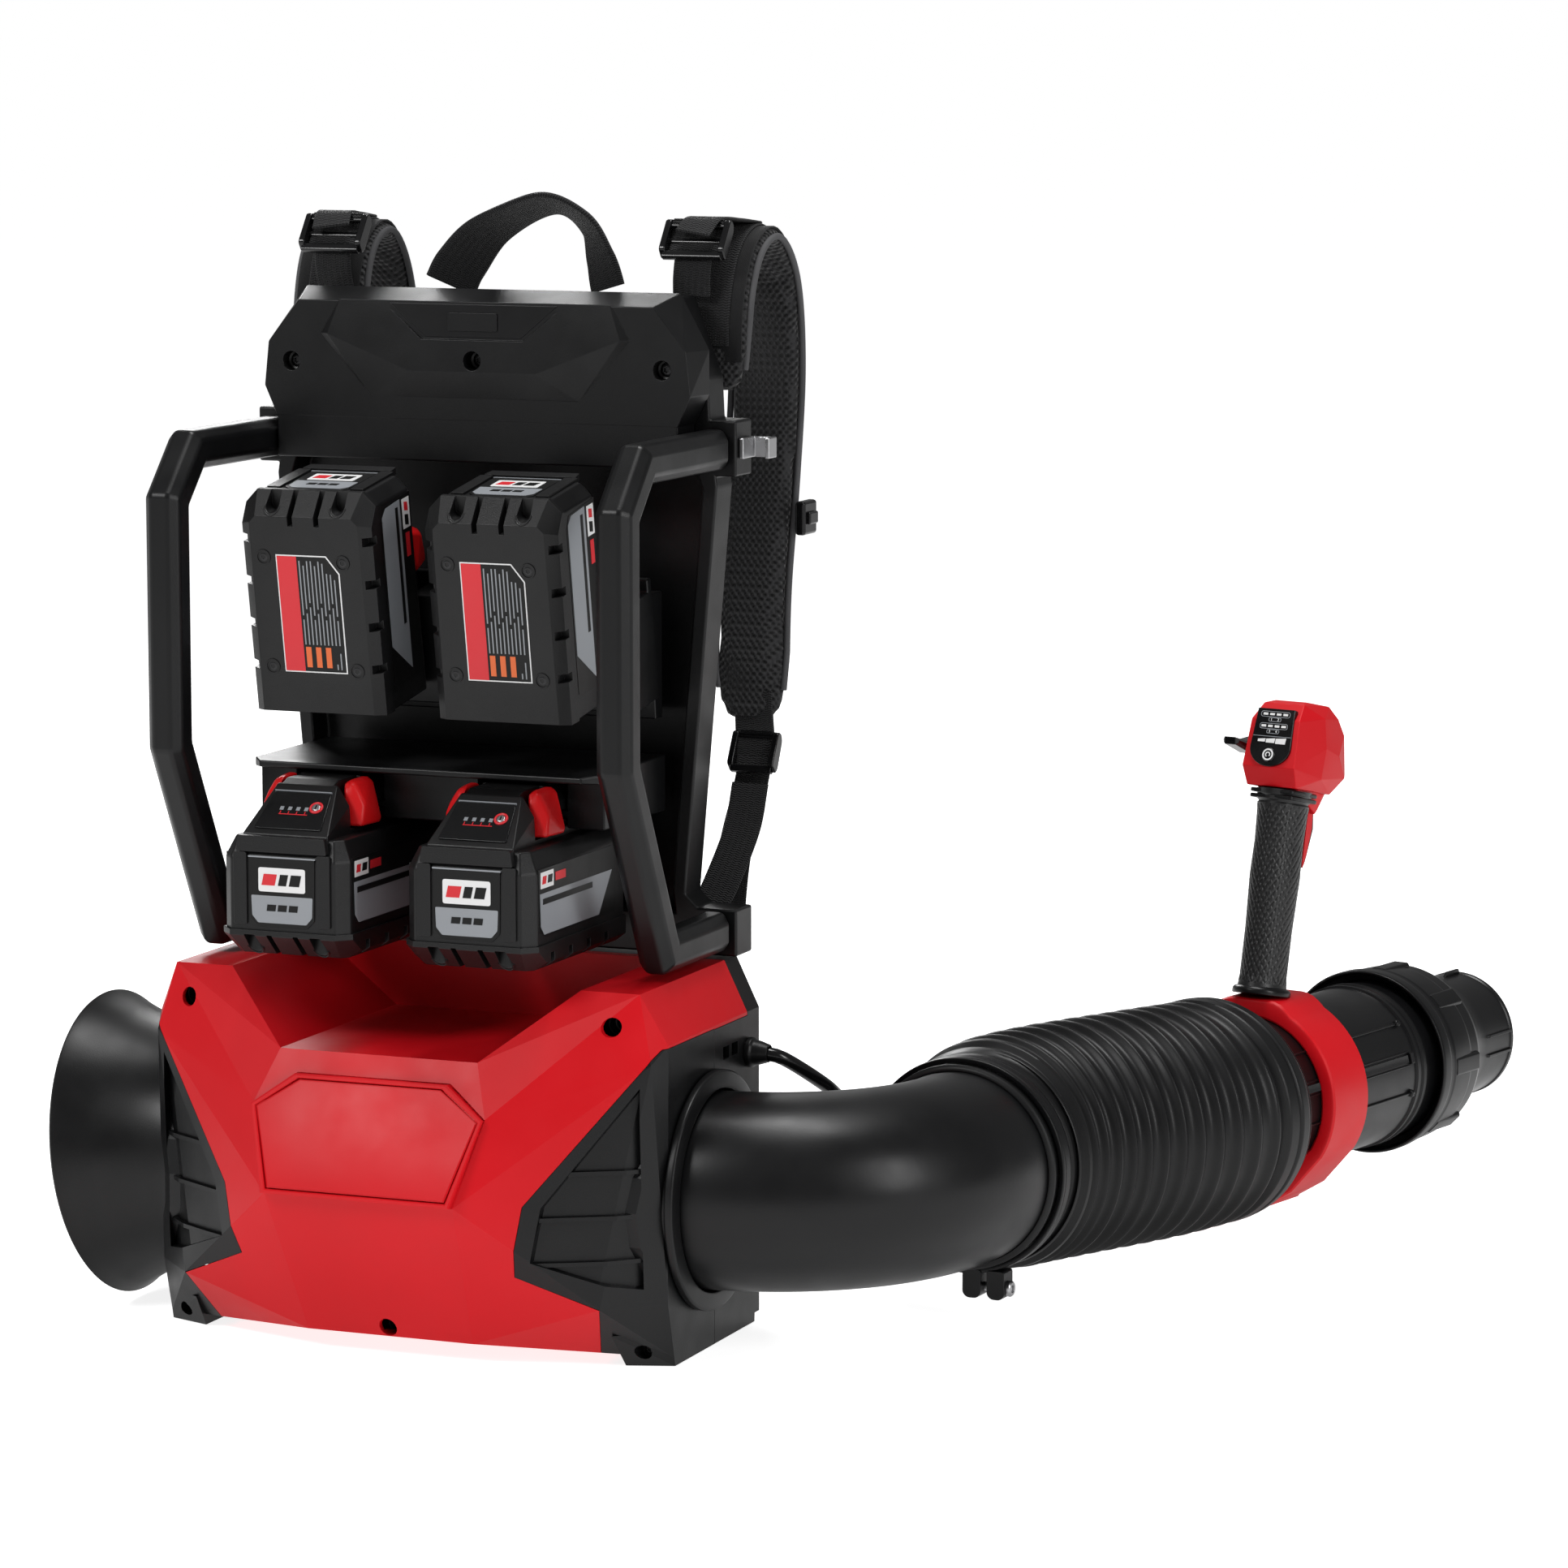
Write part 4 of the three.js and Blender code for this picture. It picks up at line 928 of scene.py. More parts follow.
def label(name, outline, material, place, body, lift, soften=0.0):
    return put(slab(name, outline, -lift, 0.6, material, place, "xz", soften), body)


def marker(tag, place, body):
    """Puts flat labels on one face of a pack; a piece is named part_tag or part_tag_number."""
    def mark(part, outline, material, lift, number=None, soften=0.0):
        name = f"{part}_{tag}" if number is None else f"{part}_{tag}_{number}"
        label(name, outline, material, place, body, lift, soften)
    return mark


def pack_pieces():
    for row, pose in (("lower", LOWER_POSE), ("upper", UPPER_POSE)):
        for side, x in (("left", -62.6), ("right", 62.6)):
            tag, body = f"{row}_{side}", f"pack_{row}_{side}"
            place = pose @ at(x, 0, 0)
            pack_body(tag, place, body)
            for k in ("outer", "inner"):
                dress(f"release_{tag}_{k}", BUTTON, 2.2)
            for details in (front_labels, gauge, side_labels, underside, shoulders):
                details(tag, place, body)


def carve(item, outlines, plane, low, high):
    """Cuts each outline's prism out of a piece."""
    for k, outline in enumerate(outlines):
        tool = slab(f"{item.name}_tool_{k}", outline, low, high, PACK, item.matrix_world.copy(), plane)
        cut = item.modifiers.new("cut", "BOOLEAN")
        cut.operation = "DIFFERENCE"
        cut.solver = "EXACT"
        cut.object = tool
        bpy.context.view_layer.update()
        shape = bpy.data.meshes.new_from_object(item.evaluated_get(bpy.context.evaluated_depsgraph_get()))
        item.modifiers.clear()
        item.data = shape
        bpy.data.objects.remove(tool)


def pack_body(tag, place, body):
    """Base band with bevelled front, slots and hook mouths; chamfered body; sloped tower."""
    top, tower = PACK_TOP, PACK_TOP + PACK_TOWER
    band_points = mirrored_x([(33, -127, 0), (37, -123, 0), (38, -2, 0), (44.5, -121, 5), (44.5, -1, 5),
                              (36, -141, 13), (44.5, -132.5, 13), (44.5, -0.5, 16.5), (36, -141, 16.5),
                              (44.5, -132.5, 16.5)])
    base = hull(f"pack_band_{tag}", band_points, PACK, place, 0)
    slots = [[(x - 1.7, -145), (x + 1.7, -145), (x + 1.7, -121), (x - 1.7, -121)] for x in (-9, 9)]
    mouths = []
    for x in (-HOOK_X, HOOK_X):
        mouths.append(arc(4.4, range(0, 181, 15), x, -133) + [(x - 3.2, -145), (x + 3.2, -145)])
    carve(base, slots + mouths, "xy", -2, 13.6)
    notches = []
    for y in (-112, -85, -58, -31):
        notches += [[(side * 39, y - 2.6), (side * 48, y - 2.6), (side * 48, y + 2.6),
                     (side * 39, y + 2.6)] for side in (-1, 1)]
    carve(base, notches, "xy", -2, 10.5)
    round_edges(base, 0.8, 20, 2)
    put(base, body, f"battery_{tag}")
    shell = mirrored_x([(35.5, -139.6, 15), (43, -131.5, 15), (43, -0.5, 15), (35.5, -139.6, top - 13),
                        (43, -131.5, top - 13), (43, -0.5, top - 8), (32.5, -133.5, top),
                        (37, -128, top), (37, -0.5, top)])
    put(hull(f"pack_shell_{tag}", shell, PACK, place, 1.2), body)
    head = mirrored_x([(29, -136, top - 3), (28, -3, top - 3), (29, -135, top + 2), (20.5, -104, tower - 3),
                       (19, -96, tower), (28, -3, tower - 6), (24, -3, tower), (28, -96, tower - 12)])
    peak = hull(f"pack_tower_{tag}", head, PACK, place, 0)
    seats = [[(side * 18, -102), (side * 44, -102), (side * 44, -72), (side * 18, -72)] for side in (-1, 1)]
    carve(peak, seats, "xy", top + 3, tower + 5)
    carve(peak, [rect(side * 27, top + 13, 8, 6) for side in (-1, 1)], "xz", -62, 5)
    round_edges(peak, 0.9, 12, 2)
    put(peak, body)


def slanted(x, w, low, high, slant, foot=0.0):
    """Outline of a leaning bar, w wide: its top stands slant to the right of x, its foot to the left."""
    return [(x - w / 2 - foot, low), (x + w / 2 - foot, low), (x + w / 2 + slant, high),
            (x - w / 2 + slant, high)]


def front_labels(tag, place, body):
    """Front face: recessed panel with a white box over a grey one, both with plain bars for text."""
    mark = marker(tag, facing(place, 0, -PACK_L, 0), body)
    mark("front_panel", fillet([(-22, 24), (-17, 19), (17, 19), (22, 24), (22.5, 62), (-22.5, 62)], 1.0, 3),
         DARK, 0.3, soften=0.2)
    mark("front_rim", [(-22.9, 62.9), (22.9, 62.9), (22.9, 62.0), (-22.9, 62.0)], GREY, 0.55)
    mark("front_white", fillet([(-16, 41), (16, 41), (16, 56), (-16, 56)], 1.6, 4), WHITE, 0.5)
    grey = [(-20.5, 26), (-16.5, 21.5), (16.5, 21.5), (20.5, 26), (21, 38.5), (-21, 38.5)]
    mark("front_grey", fillet(grey, 0.8, 3), GREY, 0.5)
    for k, (x, w, paint) in enumerate(((-8.5, 9, LABEL_RED), (1.0, 5.5, DARK), (9.2, 7, DARK))):
        mark("front_mark", slanted(x, w, 45, 52, 0.8, 0.8), paint, 0.7, k)
    for k, x in enumerate((-7.5, 0, 7.5)):
        mark("front_bar", slanted(x, 6, 29, 33, 0.6), DARK, 0.7, k)


def gauge(tag, place, body):
    """Charge gauge on the slope above the front: four cells over red ticks, and a round button."""
    slope = facing(place, 0, -122, 87.3, lean=-48.9)
    mark = marker(tag, slope, body)
    mark("gauge_face", fillet([(-23, -13), (23, -13), (19.5, 17), (-19.5, 17)], 1.5, 3), GLOSS, 0.9,
         soften=0.35)
    mark("gauge_edge", rect(0, 17.8, 39, 0.7), GREY, 1.1)
    for k in range(4):
        x = -9.5 + 5.6 * k
        mark("gauge_cell", rect(x, 3.4, 2.5, 2.8), GREY, 1.15, k)
        mark("gauge_tick", rect(x, 0.2, 0.5, 2.2), LABEL_RED, 1.1, k)
    mark("gauge_line", rect(-0.4, -1.2, 19.5, 0.6), LABEL_RED, 1.1)
    button = slope @ at(13.5, 0, 5)
    ring = fillet([(3.0, 0.4), (4.6, 0.4), (4.6, -1.5), (3.9, -1.9), (3.0, -1.5)], 0.3, 2)
    cap = fillet([(0.02, 0.4), (3.0, 0.4), (3.0, -1.3), (2.4, -1.9), (0.02, -1.9)], 0.4, 3)
    put(turned(f"gauge_ring_{tag}", ring, LABEL_RED, button, 36), body)
    put(turned(f"gauge_button_{tag}", cap, STEEL, button, 36), body)
    # Painted shade: a flat dark bar stands in for the slot in the button.
    mark("gauge_slot", rect(13.5, 5, 0.9, 3.0), DARK, 2.0)


# Long side's fields, seen from the right: part, outline from front to back, paint, lift
SIDE_FIELDS = (
    ("field", [(-58, 25), (-50, 21), (54, 21), (56, 25), (56, 63), (-60, 63)], DARK, 0.25),
    ("white", [(-57, 51), (-38, 51), (-38, 61), (-57, 61)], WHITE, 0.45),
    ("grey", [(-58, 48), (-57, 28), (-52, 22.5), (30, 22.5), (50, 48)], GREY, 0.45),
    ("mark", [(-55, 53.6), (-49.5, 53.6), (-48.5, 58.4), (-54, 58.4)], LABEL_RED, 0.6),
    ("mark2", [(-47, 53.6), (-40.5, 53.6), (-39.5, 58.4), (-46, 58.4)], DARK, 0.6),
    ("red", [(-35, 53.4), (-20, 53.4), (-20, 58.6), (-35, 58.6)], LABEL_RED, 0.45),
    ("bar", [(-54, 41), (20, 41), (20, 44.6), (-54, 44.6)], DARK, 0.6),
)


def side_labels(tag, place, body):
    """Long sides: dark field, white box, grey slanted field."""
    for side, sign in (("right", 1), ("left", -1)):
        mark = marker(tag, facing(place, sign * 43, -PACK_L / 2, 0, turn=sign * 90), body)
        for part, outline, paint, lift in SIDE_FIELDS:
            mark(f"side_{part}", [(sign * a, b) for a, b in outline], paint, lift, side)


def base_label(tag, down, body):
    """Bordered label on the base plate: a red stripe, fine lines for text, orange notes at its foot."""
    mark = marker(tag, down, body)
    mark("base_border", [(-20.5, 28), (22.5, 28), (22.5, 92), (14, 103), (-20.5, 103)], WHITE, 0.3)
    mark("base_dark", [(-19.7, 28.8), (21.7, 28.8), (21.7, 91.6), (13.6, 102.2), (-19.7, 102.2)], DARK, 0.42)
    mark("base_red", [(-19.7, 28.8), (-6.4, 28.8), (-6.4, 102.2), (-19.7, 102.2)], LABEL_RED, 0.52)
    for k in range(10):
        x, uneven = -4.6 + 2.6 * k, 4 * (k % 3)
        top = 99.5 - max(0.0, x - 10) * 1.3 - (3 if k % 3 == 1 else 0)
        for m, (low, high) in enumerate(((30.5, 34 + 7 * (k % 2)), (46, 62 + uneven),
                                         (66 + uneven - 1.2, top))):
            if m or k > 7:
                mark("base_line", rect(x, (low + high) / 2, 0.8, high - low), GREY, 0.52, f"{k}_{m}")
    for k, x in enumerate((-3.0, 3.8, 10.6)):
        mark("base_note", rect(x, 38, 3.6, 13), ORANGE, 0.6, k)


def underside(tag, place, body):
    """Base plate: label, four screws in wells, and a fine lip round each hook mouth."""
    down = place @ spin(90, "X")
    base_label(tag, down, body)
    well = fillet([(3.9, 0.8), (4.9, 0.8), (4.9, -0.6), (3.9, -0.6)], 0.3, 2)
    for k, (x, z) in enumerate(((-29, 101), (25, 99), (-29, 31), (29, 30))):
        put(turned(f"base_well_{tag}_{k}", well, PACK, down @ at(x, 0, z), 32), body)
        screw(f"base_screw_{tag}_{k}", down @ at(x, -0.2, z), 3.3, body)
    for k, x in enumerate((-HOOK_X, HOOK_X)):
        rim = [Vector((a, lip_depth(z), z)) for a, z in arc(5, range(0, 181, 15), x, 132.4, -5)]
        lip = tube_rows(rim, [0.6] * len(rim), 10, Vector((0, 1, 0)))
        put(add(f"base_lip_{tag}_{k}", lip, PACK, place=down, crease=60), body)


def lip_depth(z):
    """Depth of the bevelled front edge below the base plate at height z."""
    return max(0.0, (z - 127) * 13 / 14) - 0.1


def shoulders(tag, place, body):
    """Raised posts beside the front panel and the brow above it."""
    face = facing(place, 0, -PACK_L, 0)
    for k, x in enumerate((-28.5, 28.5)):
        post = fillet(rect(x, 42.5, 9, 45), 1.2, 3)
        put(slab(f"front_post_{tag}_{k}", post, -1.1, 1, PACK, face, "xz", 0.5), body)
    brow = fillet([(-31, 65.5), (31, 65.5), (29.5, 75.5), (-29.5, 75.5)], 1.2, 3)
    put(slab(f"front_brow_{tag}", brow, -1.4, 3, PACK, face, "xz", 0.7), body)


# ---------- handle ----------
HANDLE = TUBE @ at(0, 60, 67.9, -12, "X")
HEAD_Z = 139.4


def handle_pieces():
    ring()
    grip()
    head()
    display()
    controls()


def ring():
    """Red ring round the tube: round outside, flat saddle under the grip, keel below."""
    outline = []
    for k in range(61):
        angle = math.radians(-122 + 244 * k / 60)
        x, z = 66 * math.sin(angle), 66 * math.cos(angle)
        lift = max(0.0, 1 - abs(x) / 30) ** 0.8
        outline.append((x, z + (67.5 - z) * min(1.0, 1.8 * lift) if z > 0 else z))
    keel = [(-33, -61), (-14, -72.5), (-13, -74), (-4, -74), (-3, -72.4), (3, -72.4), (4, -74), (13, -74),
            (14, -72.5), (33, -61)]
    outer = sorted(outline, key=lambda p: -math.atan2(p[0], p[1])) + keel
    count = len(outer)
    rows = []
    for y, grow in ((45, -2.2), (45.6, -0.9), (47.2, 0), (90.8, 0), (92.4, -0.9), (93, -2.2)):
        rows.append([(x * (1 + grow / 66), y, z * (1 + grow / 66)) for x, z in outer])
    for y, r in ((93, 57.4), (92, 56.0), (46, 56.0), (45, 57.4)):
        rows.append([(r * x / math.hypot(x, z), y, r * z / math.hypot(x, z)) for x, z in outer])
    put(add("ring_shell", rows, RED, wrap_rows=True, place=TUBE, crease=28), "handle", "clamp_ring",
        slot="red_plastic")
    rim = fillet([(0.02, 0), (19.4, 0), (19.4, 3.2), (18.4, 4.8), (16.6, 5.6), (0.02, 5.6)], 0.8, 3)
    base = HANDLE @ spin(90, "X") @ Matrix.Diagonal((1, 1, 1.08, 1))
    put(turned("grip_foot", rim, SMOOTH, base, 72), "handle")


def grip_size(z):
    """Half width and half depth of the grip at a height."""
    width = stepped([(4.5, 16.2), (12, 15.2), (45, 15.2), (80, 16.3), (104, 15.7), (124, 16.4), (139, 18.2)],
                    z)
    return width, width * 1.2


def grip():
    """Knurled rubber with diamond grooves, a smooth inlay down its side and a plain collar on top."""
    steps, levels = 264, 240
    rows = []
    for i in range(levels + 1):
        z = 4.6 + (138.8 - 4.6) * i / levels
        wide, deep = grip_size(z)
        row = []
        for k in range(steps):
            angle = 2 * math.pi * k / steps
            u, v = k / steps * 44, z / 3.6
            ridge = abs(math.sin(math.pi * (u / 2 + v / 2))) * abs(math.sin(math.pi * (u / 2 - v / 2)))
            depth = 0.42 * (1 - min(1.0, 2.2 * ridge))
            inlay = abs(math.degrees(angle) - 52) < 9 + 6 * math.cos(z / 21) and 22 < z < 126
            plain = z < 8 or z > 128
            if inlay or plain:
                depth = 0.9 if inlay else 0.2
            if 128 < z < 136 and int((z - 128) / 1.6) % 2:
                depth = 1.0
            shape = 1 - depth / wide
            row.append((wide * shape * math.cos(angle),
                        deep * shape * math.sin(angle) * (1 if math.sin(angle) < 0 else 0.96), z))
        rows.append(row)
    put(add("grip_skin", rows, KNURL, place=HANDLE, crease=70), "handle", "grip", slot="black_rubber")


def head():
    z = HEAD_Z
    low = [(19, -19, z + 0.4), (17, 31, z + 0.8), (20, -26.6, z + 13), (22, 40, z + 13), (24.6, 4, z + 9)]
    middle = [(24.8, 6, z + 30), (24.8, 24, z + 27), (21, 41.6, z + 16), (18.5, -23.6, z + 45),
              (20, 36.6, z + 42)]
    high = [(15.5, -14.4, z + 57), (12, -6, z + 59.6), (15, 20, z + 59.6), (22.2, 4, z + 50),
            (19, 28, z + 52)]
    shell = hull("head_shell", mirrored_x(low + middle + high), RED, HANDLE, 0)
    carve(shell, [disc(0, z + 20.6, 5.7)], "xz", -40, -18)
    round_edges(shell, 1.8, 9)
    put(shell, "handle", "control_head", slot="red_plastic")
    throat = [(16, -19, z + 3), (15, 30, z + 3), (12, 20.5, z - 9), (14, 22, z - 6), (15.5, 24, z - 1),
              (12, 23.5, z - 14)]
    put(hull("head_throat", mirrored_x(throat), RED, HANDLE, 1.0, 9), "handle")
    for k, (dz, soften) in enumerate(((-3.6, 0.7), (-7.4, 0.6))):
        neck = fillet([(-16.6, -19.4), (16.6, -19.4), (18.0, -8), (16.8, 17), (-16.8, 17), (-18.0, -8)], 4, 4)
        put(slab(f"head_neck_{k}", neck, z + dz, z + dz + 2.6, SMOOTH, HANDLE, "xy", soften), "handle")


FACE = HANDLE @ at(0, -24.95, HEAD_Z + 30) @ spin(-7.2, "X")


def display():
    """Dark panel with a rounded foot, two rows of lamps, three stepped bars and the power ring."""
    foot = arc(15.5, [-9 * k for k in range(21)], 0, -4, 13)
    outline = [(14.2, 22.5), *foot, (-14.2, 22.5)]
    put(slab("display_glass", outline, -1.5, 3, GLOSS, FACE, "xz", 0.5), "handle", "display_panel",
        slot="gloss_black")
    for row, z in enumerate((18.6, 10.4)):
        outline_bar(f"lamp_frame_{row}", 0, z, 22.5 - row, 4.0)
        for k in range(4):
            label(f"lamp_{row}_{k}", rect(-7.6 + 5.1 * k, z, 3.4, 1.5), WHITE, FACE, "handle", 1.95)
        outline_bar(f"lamp_bracket_{row}", 0, z - 3.7, 9.6, 2.8)
        for k, x in enumerate((-2.6, 2.6)):
            digit(f"lamp_number_{row}_{k}", 2 * row + k + 1, x, z - 3.7)
    label("display_rule", rect(0, 3.4, 28.6, 0.35), GREY, FACE, "handle", 1.7)
    for k, (x, w, h) in enumerate(((-7.4, 5.4, 2.0), (-0.6, 6.4, 2.9), (7.2, 7.4, 3.8))):
        bar = [(x - w / 2, 0.4 - h / 2), (x + w / 2, 0.4 - h / 2), (x + w / 2 + 0.3, 0.4 + h / 2 + 0.3),
               (x - w / 2, 0.4 + h / 2 - 0.3)]
        label(f"level_{k}", bar, WHITE, FACE, "handle", 1.95)


def outline_bar(name, x, z, w, h):
    """Thin rounded frame."""
    line = 0.35
    outer = fillet(rect(x, z, w, h), h * 0.45, 4)
    inner = fillet(rect(x, z, w - 2 * line, h - 2 * line), h * 0.45 - line, 4)
    rows = [[(a, y, b) for a, b in edge]
            for edge, y in ((outer, -1.3), (outer, -1.72), (inner, -1.72), (inner, -1.3))]
    put(add(name, rows, GREY, wrap_rows=True, place=FACE), "handle")


def digit(name, number, x, z):
    """Plain raised number."""
    curve = bpy.data.curves.new(name, "FONT")
    curve.body = str(number)
    curve.size = 2.5 * MM
    curve.extrude = 0.15 * MM
    curve.align_x, curve.align_y = "CENTER", "CENTER"
    source = bpy.data.objects.new(name + "_source", curve)
    SCENE.collection.objects.link(source)
    bpy.context.view_layer.update()
    mesh = bpy.data.meshes.new_from_object(source.evaluated_get(bpy.context.evaluated_depsgraph_get()))
    bpy.data.objects.remove(source)
    put(finish_mesh(name, mesh, WHITE, FACE @ at(x, -1.75, z) @ spin(90, "X")), "handle")


def controls():
    button = HANDLE @ at(0, -27.9, HEAD_Z + 21) @ spin(-7.2, "X")
    cap = fillet([(0.02, 1.4), (4.9, 1.4), (5.0, -0.4), (4.3, -1.0), (0.02, -1.0)], 0.4, 3)
    put(turned("power_cap", cap, GLOSS, button, 48), "power_button", "power_button", slot="gloss_black")
    lit = fillet([(3.0, -0.9), (4.1, -0.9), (4.1, -1.25), (3.0, -1.25)], 0.1, 2)
    put(turned("power_ring", lit, WHITE, button, 48), "power_button")
    arrow = arc(1.9, [14 * k - 40 for k in range(21)])
    inner = [(0.62 * x, 0.62 * z) for x, z in reversed(arrow)]
    put(slab("power_arrow", arrow + inner, -1.3, -0.9, WHITE, button, "xz"), "power_button")
    dress("trigger", SMOOTH, 1.8, 12)
    backing = [(20.4, 134), (25.2, 134), (27, 116), (23.6, 97), (20.2, 88), (19.4, 92), (19.4, 120)]
    for k, x in enumerate((-8.8, 7.7)):
        put(slab(f"trigger_edge_{k}", fillet(backing, 1.4, 3), x, x + 1.1, RED, HANDLE, "yz", 0.35), "handle")
    dress("cruise_lever", GLOSS, 1.6, 12)


# ---------- harness ----------
STRAP_PATH = [(134, 98, 588), (134, 100, 640), (135, 116, 675), (136, 146, 684), (137, 172, 656),
              (136, 183, 600), (132, 184, 530), (131, 172, 460), (136, 156, 404), (141, 146, 376)]
WEB_PATH = [(145.5, 131, 336), (145, 118, 308), (139, 98, 276), (135, 87, 262)]
VOXEL_SIZE = 0.0045                # metres
CLOTH_PRESSURE, CLOTH_FRAMES = 4.0, 20


def flipped(points, sign):
    return [(sign * x, y, z) for x, y, z in points]


def inflate(item, cap):
    """Voxel remesh and a short cloth run that swells a pad, each point's travel capped."""
    bpy.context.view_layer.objects.active = item
    for other in bpy.context.selected_objects:
        other.select_set(False)
    item.select_set(True)
    remesh = item.modifiers.new("remesh", "REMESH")
    remesh.mode = "VOXEL"
    remesh.voxel_size = VOXEL_SIZE
    bpy.ops.object.modifier_apply(modifier="remesh")
    rest = [v.co.copy() for v in item.data.vertices]
    cloth = item.modifiers.new("cloth", "CLOTH")
    cloth.settings.use_pressure = True
    cloth.settings.uniform_pressure_force = CLOTH_PRESSURE
    cloth.settings.effector_weights.gravity = 0
    cloth.settings.tension_stiffness = 8
    cloth.settings.bending_stiffness = 0.4
    cloth.settings.shrink_min = 0.0
    cloth.point_cache.frame_start, cloth.point_cache.frame_end = 1, CLOTH_FRAMES
    for number in range(1, CLOTH_FRAMES + 1):
        SCENE.frame_set(number)
    bpy.ops.object.modifier_apply(modifier="cloth")
    SCENE.frame_set(1)
    for vertex, start in zip(item.data.vertices, rest):
        travel = vertex.co - start
        if travel.length > cap * MM:
            vertex.co = start + travel.normalized() * cap * MM
    item.data.polygons.foreach_set("use_smooth", [True] * len(item.data.polygons))


def pinch(item, rule):
    """Moves each vertex by what rule(x, y, z) returns, in millimetres: seams and channels after the cloth."""
    for vertex in item.data.vertices:
        vertex.co += Vector(rule(*(vertex.co / MM))) * MM


def subdivide(item):
    smooth = item.modifiers.new("smooth", "SUBSURF")
    smooth.levels = smooth.render_levels = 1


def harness_pieces():
    back_pad()
    for name, sign in (("right", 1), ("left", -1)):
        shoulder_strap(name, sign)
        webs(name, sign)
        buckles(name, sign)
    carry_handle()
    chest_clip()


def padded_rows(path, width, thickness, sign, taper):
    section = []
    for k in range(28):
        a = 2 * math.pi * k / 28
        c, s = math.cos(a), math.sin(a)
        section.append((width / 2 * math.copysign(abs(c) ** 0.55, c),
                        thickness / 2 * math.copysign(abs(s) ** 0.7, s)))
    rows = ribbon_rows(path, section, lambda i: Vector((sign, 0, 0)))
    count = len(path) - 1
    made = []
    for i, (row, point) in enumerate(zip(rows, path)):
        ends = min(1.0, taper + (1 - taper) * math.sqrt(min(i, count - i) / 5))
        made.append([point + (p - point) * ends for p in row])
    return made


def shoulder_strap(name, sign):
    path = smooth_path(flipped(STRAP_PATH, sign), 90)
    pad = add(f"shoulder_pad_{name}", padded_rows(path, 50, 11.5, sign, 0.55), MESH, crease=80)
    inflate(pad, 2.0)
    subdivide(pad)
    put(pad, "chassis", f"strap_{name}", slot="black_fabric")
    count = len(path) - 1
    for k, edge in enumerate((-24.6, 24.6)):
        rim = [p + Vector((edge * min(1.0, 0.72 + 0.28 * math.sqrt(min(i, count - i) / 9)), 0, 0))
               for i, p in enumerate(path)][3:-4]
        put(add(f"strap_piping_{name}_{k}", tube_rows(rim, [2.1] * len(rim), 14, Vector((1, 0, 0))), THREAD,
                crease=80), "chassis")
    strap_layer(f"strap_cover_{name}", path[4:-6], 44, 1.4, 5.8, PAD, sign)
    strap_layer(f"strap_webbing_{name}", path[6:52], 27, 1.6, 7.2, WEB, sign)


def strap_layer(name, face, width, thickness, lift, material, sign):
    """A flat layer sewn on the strap's outer side."""
    section = band_section(width, thickness, 0.6)
    rows = ribbon_rows(face, section, lambda i: Vector((sign, 0, 0)))
    outward = [(tangent.cross(Vector((sign, 0, 0)))).normalized() * lift for tangent in tangents(face)]
    middle = sum(face, Vector()) / len(face)
    for i, row in enumerate(rows):
        away = (face[i] + outward[i] - middle).length > (face[i] - middle).length
        push = outward[i] if away else -outward[i]
        rows[i] = [p + push for p in row]
    put(woven(name, rows, section, face, len(face), material, 50), "chassis")


def webs(name, sign):
    put(band(f"lower_webbing_{name}", flipped(WEB_PATH, sign), 25, 2.4, WEB), "chassis", f"lower_web_{name}",
        slot="black_fabric")
    link = [(140, 150, 392), (142, 146.5, 374), (144.5, 142, 362), (145.5, 139.5, 352)]
    put(band(f"buckle_webbing_{name}", flipped(link, sign), 26, 3.0, WEB, steps=24), "chassis")
    tail = [(145, 141, 350), (140, 142, 328), (133, 138, 296), (130, 134, 262), (129, 133, 228)]
    put(band(f"web_tail_{name}", flipped(tail, sign), 23, 1.8, WEB), "chassis")
    lift = [(124, 87, 650), (125, 85, 662), (126, 87, 676), (127, 96, 690)]
    put(band(f"lifter_webbing_{name}", flipped(lift, sign), 25, 2.4, WEB, steps=24), "chassis",
        f"lifter_web_{name}", slot="black_fabric")
    for k, (path, width) in enumerate((([(126, 84.8, 674), (126, 91, 683), (126, 97.4, 692)], 35),
                                       ([(145, 135.4, 346), (145, 140.2, 355), (145, 144.9, 364)], 24))):
        put(band(f"buckle_fill_{name}_{k}", flipped(path, sign), width, 1.6, WEB, steps=12), "chassis")
    over = [(126, 84, 689), (129, 96, 697), (133, 118, 696), (136, 146, 693)]
    put(band(f"lifter_end_{name}", flipped(over, sign), 25, 2.0, WEB, steps=30), "chassis")


def ladder(name, width, place, stands_for):
    """Ladder-lock buckle: two side walls, three bars, a ribbed lip."""
    half = width / 2
    for k, x in enumerate((-half, half - 4.2)):
        wall = fillet([(-13, -3), (-9, -5.2), (10, -4.6), (14, -1), (13, 4.5), (-10, 5)], 2.4, 4)
        item = slab(f"{name}_wall_{k}", wall, x, x + 4.2, GLOSS, place @ spin(90, "X"), "yz", 1.0)
        put(item, "chassis", *([stands_for] if k == 0 else []), slot="gloss_black" if k == 0 else None)
    for k, (z, y, h, d) in enumerate(((-11.4, 0, 5, 5), (-0.4, 1.4, 3.6, 3.6), (10.8, -1, 5.4, 4.4))):
        bar = fillet(rect(y, z, d, h), 1.3, 4)
        put(slab(f"{name}_bar_{k}", bar, -half + 2, half - 2, GLOSS, place, "yz", 0.4), "chassis")
    for k in range(3):
        ridge = fillet(rect(-2.9, 9.45 + 1.9 * k, 1.4, 0.9), 0.3, 2)
        put(slab(f"{name}_ridge_{k}", ridge, -half + 5, half - 5, GLOSS, place, "yz", 0.2), "chassis")


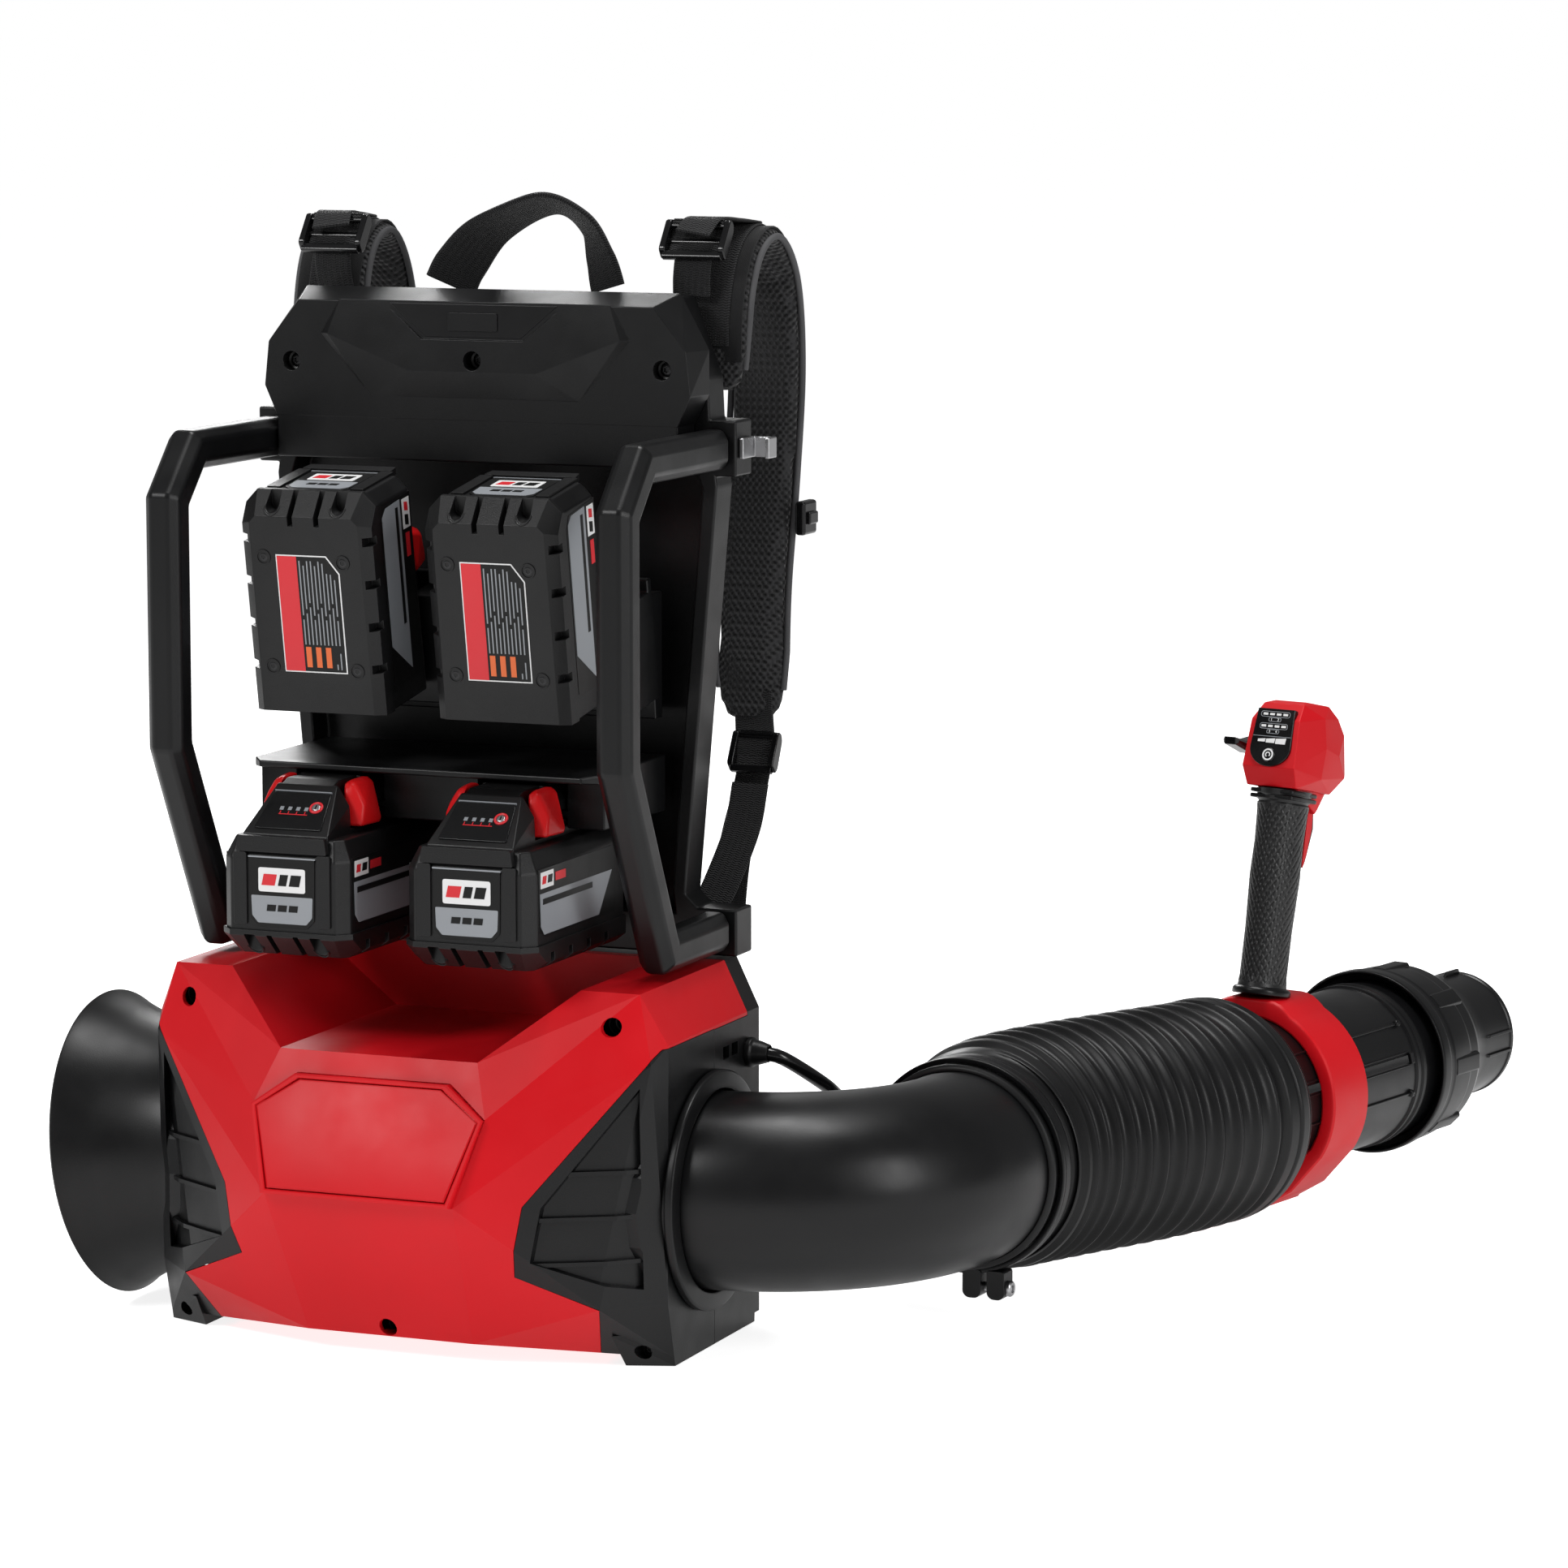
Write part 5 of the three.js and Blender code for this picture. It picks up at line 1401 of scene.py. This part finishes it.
def buckles(name, sign):
    ladder(f"strap_lock_{name}", 44, at(sign * 126, 90, 684, -35, "X"), f"ladder_buckle_{name}")
    ladder(f"lower_lock_{name}", 32, at(sign * 145, 139.5, 355, -28, "X"), f"lower_buckle_{name}")


def back_pad():
    half = [(84, 292), (104, 306), (104, 560), (100, 638), (70, 644)]
    outline = fillet(both_halves(half), 16, 5)
    middle = 468
    rows = []
    for y, inset in ((86, 7), (89, 3.5), (94, 2), (101, 2), (106, 4.5), (108.5, 10)):
        rows.append([(x * (1 - inset / 104), y, middle + (z - middle) * (1 - inset / 176))
                     for x, z in outline])
    pad = add("back_cushion", rows, MESH, crease=80)
    inflate(pad, 3.0)

    def channels(x, y, z):
        if y < 100:
            return (0, 0, 0)
        across = sum(3.2 * math.exp(-((z - h) / 4) ** 2) for h in (372, 456, 540))
        dip = 4.2 * math.exp(-(x / 5) ** 2) + across
        return (0, -dip * min(1.0, (y - 100) / 6), 0)

    pinch(pad, channels)
    subdivide(pad)
    put(pad, "chassis", "back_pad", slot="black_fabric")
    rim = [Vector((x * 0.982, 96, middle + (z - middle) * 0.99)) for x, z in outline]
    put(add("back_piping", tube_rows(rim + rim[:1], [2.4] * (len(rim) + 1), 12, Vector((0, 1, 0))), THREAD,
            crease=80), "chassis")


def carry_handle():
    """Webbing with two rows of stitches, flat to the front at the ends and turned over the top."""
    path = smooth_path([(-48, 98, 652), (-40, 98, 668), (-19, 98, 693), (20, 99, 711), (47, 98, 697),
                        (57, 98, 673), (62, 98, 652)], 80)
    section = band_section(34, 3.4, 1.4, 16)
    count = len(path) - 1
    lean = tangents(path)

    def across(i):
        t = i / count
        flat = 0.88 - 0.5 * math.sin(math.pi * t) ** 2
        in_plane = Vector((-lean[i].z, 0, lean[i].x))
        return in_plane * flat - Vector((0, math.sqrt(1 - flat * flat), 0))

    rows = ribbon_rows([p + Vector((0, 0, -6 * math.sin(math.pi * i / count))) for i, p in enumerate(path)],
                       section, across)
    put(woven("handle_webbing", rows, section, path, count, WEB, 60), "chassis", "carry_handle",
        slot="black_fabric")
    for k, edge in enumerate((-9, 9)):
        line = []
        for i, row in enumerate(rows):
            middle = sum((Vector(q) for q in row), Vector()) / len(row)
            side = (Vector(row[17]) - Vector(row[0])).normalized()
            out = side.cross(lean[i]).normalized()
            line.append(middle + side * edge + out * 1.9)
        stitches(f"handle_stitch_{k}", line, 3.4, "chassis")


def stitches(name, line, pitch, body):
    """Short thread stitches along a line, joined into one piece."""
    length = length_of(line)
    points = resample(line, int(length / (pitch / 4)))
    shape = bmesh.new()
    for i in range(0, len(points) - 3, 4):
        a, b = points[i] * MM, points[i + 2] * MM
        turn = (b - a).to_track_quat("Z", "Y").to_matrix().to_4x4()
        place = Matrix.Translation((a + b) / 2) @ turn
        bmesh.ops.create_cone(shape, cap_ends=True, segments=6, radius1=0.35 * MM, radius2=0.35 * MM,
                              depth=(b - a).length, matrix=place)
    mesh = bpy.data.meshes.new(name)
    shape.to_mesh(mesh)
    shape.free()
    put(finish_mesh(name, mesh, THREAD), body)


def chest_clip():
    put(block("chest_buckle", (159.5, 172, 492), (166.5, 194, 514), GLOSS, None, 2.2), "chassis",
        "chest_clip", slot="gloss_black")
    put(block("chest_bar", (166, 176, 499), (169, 190, 507), GLOSS, None, 1.2), "chassis")


add_camera()
add_stage()
for build in (base_pieces, frame_pieces, pack_pieces, air_pieces, handle_pieces, cable_pieces,
              harness_pieces):
    build()
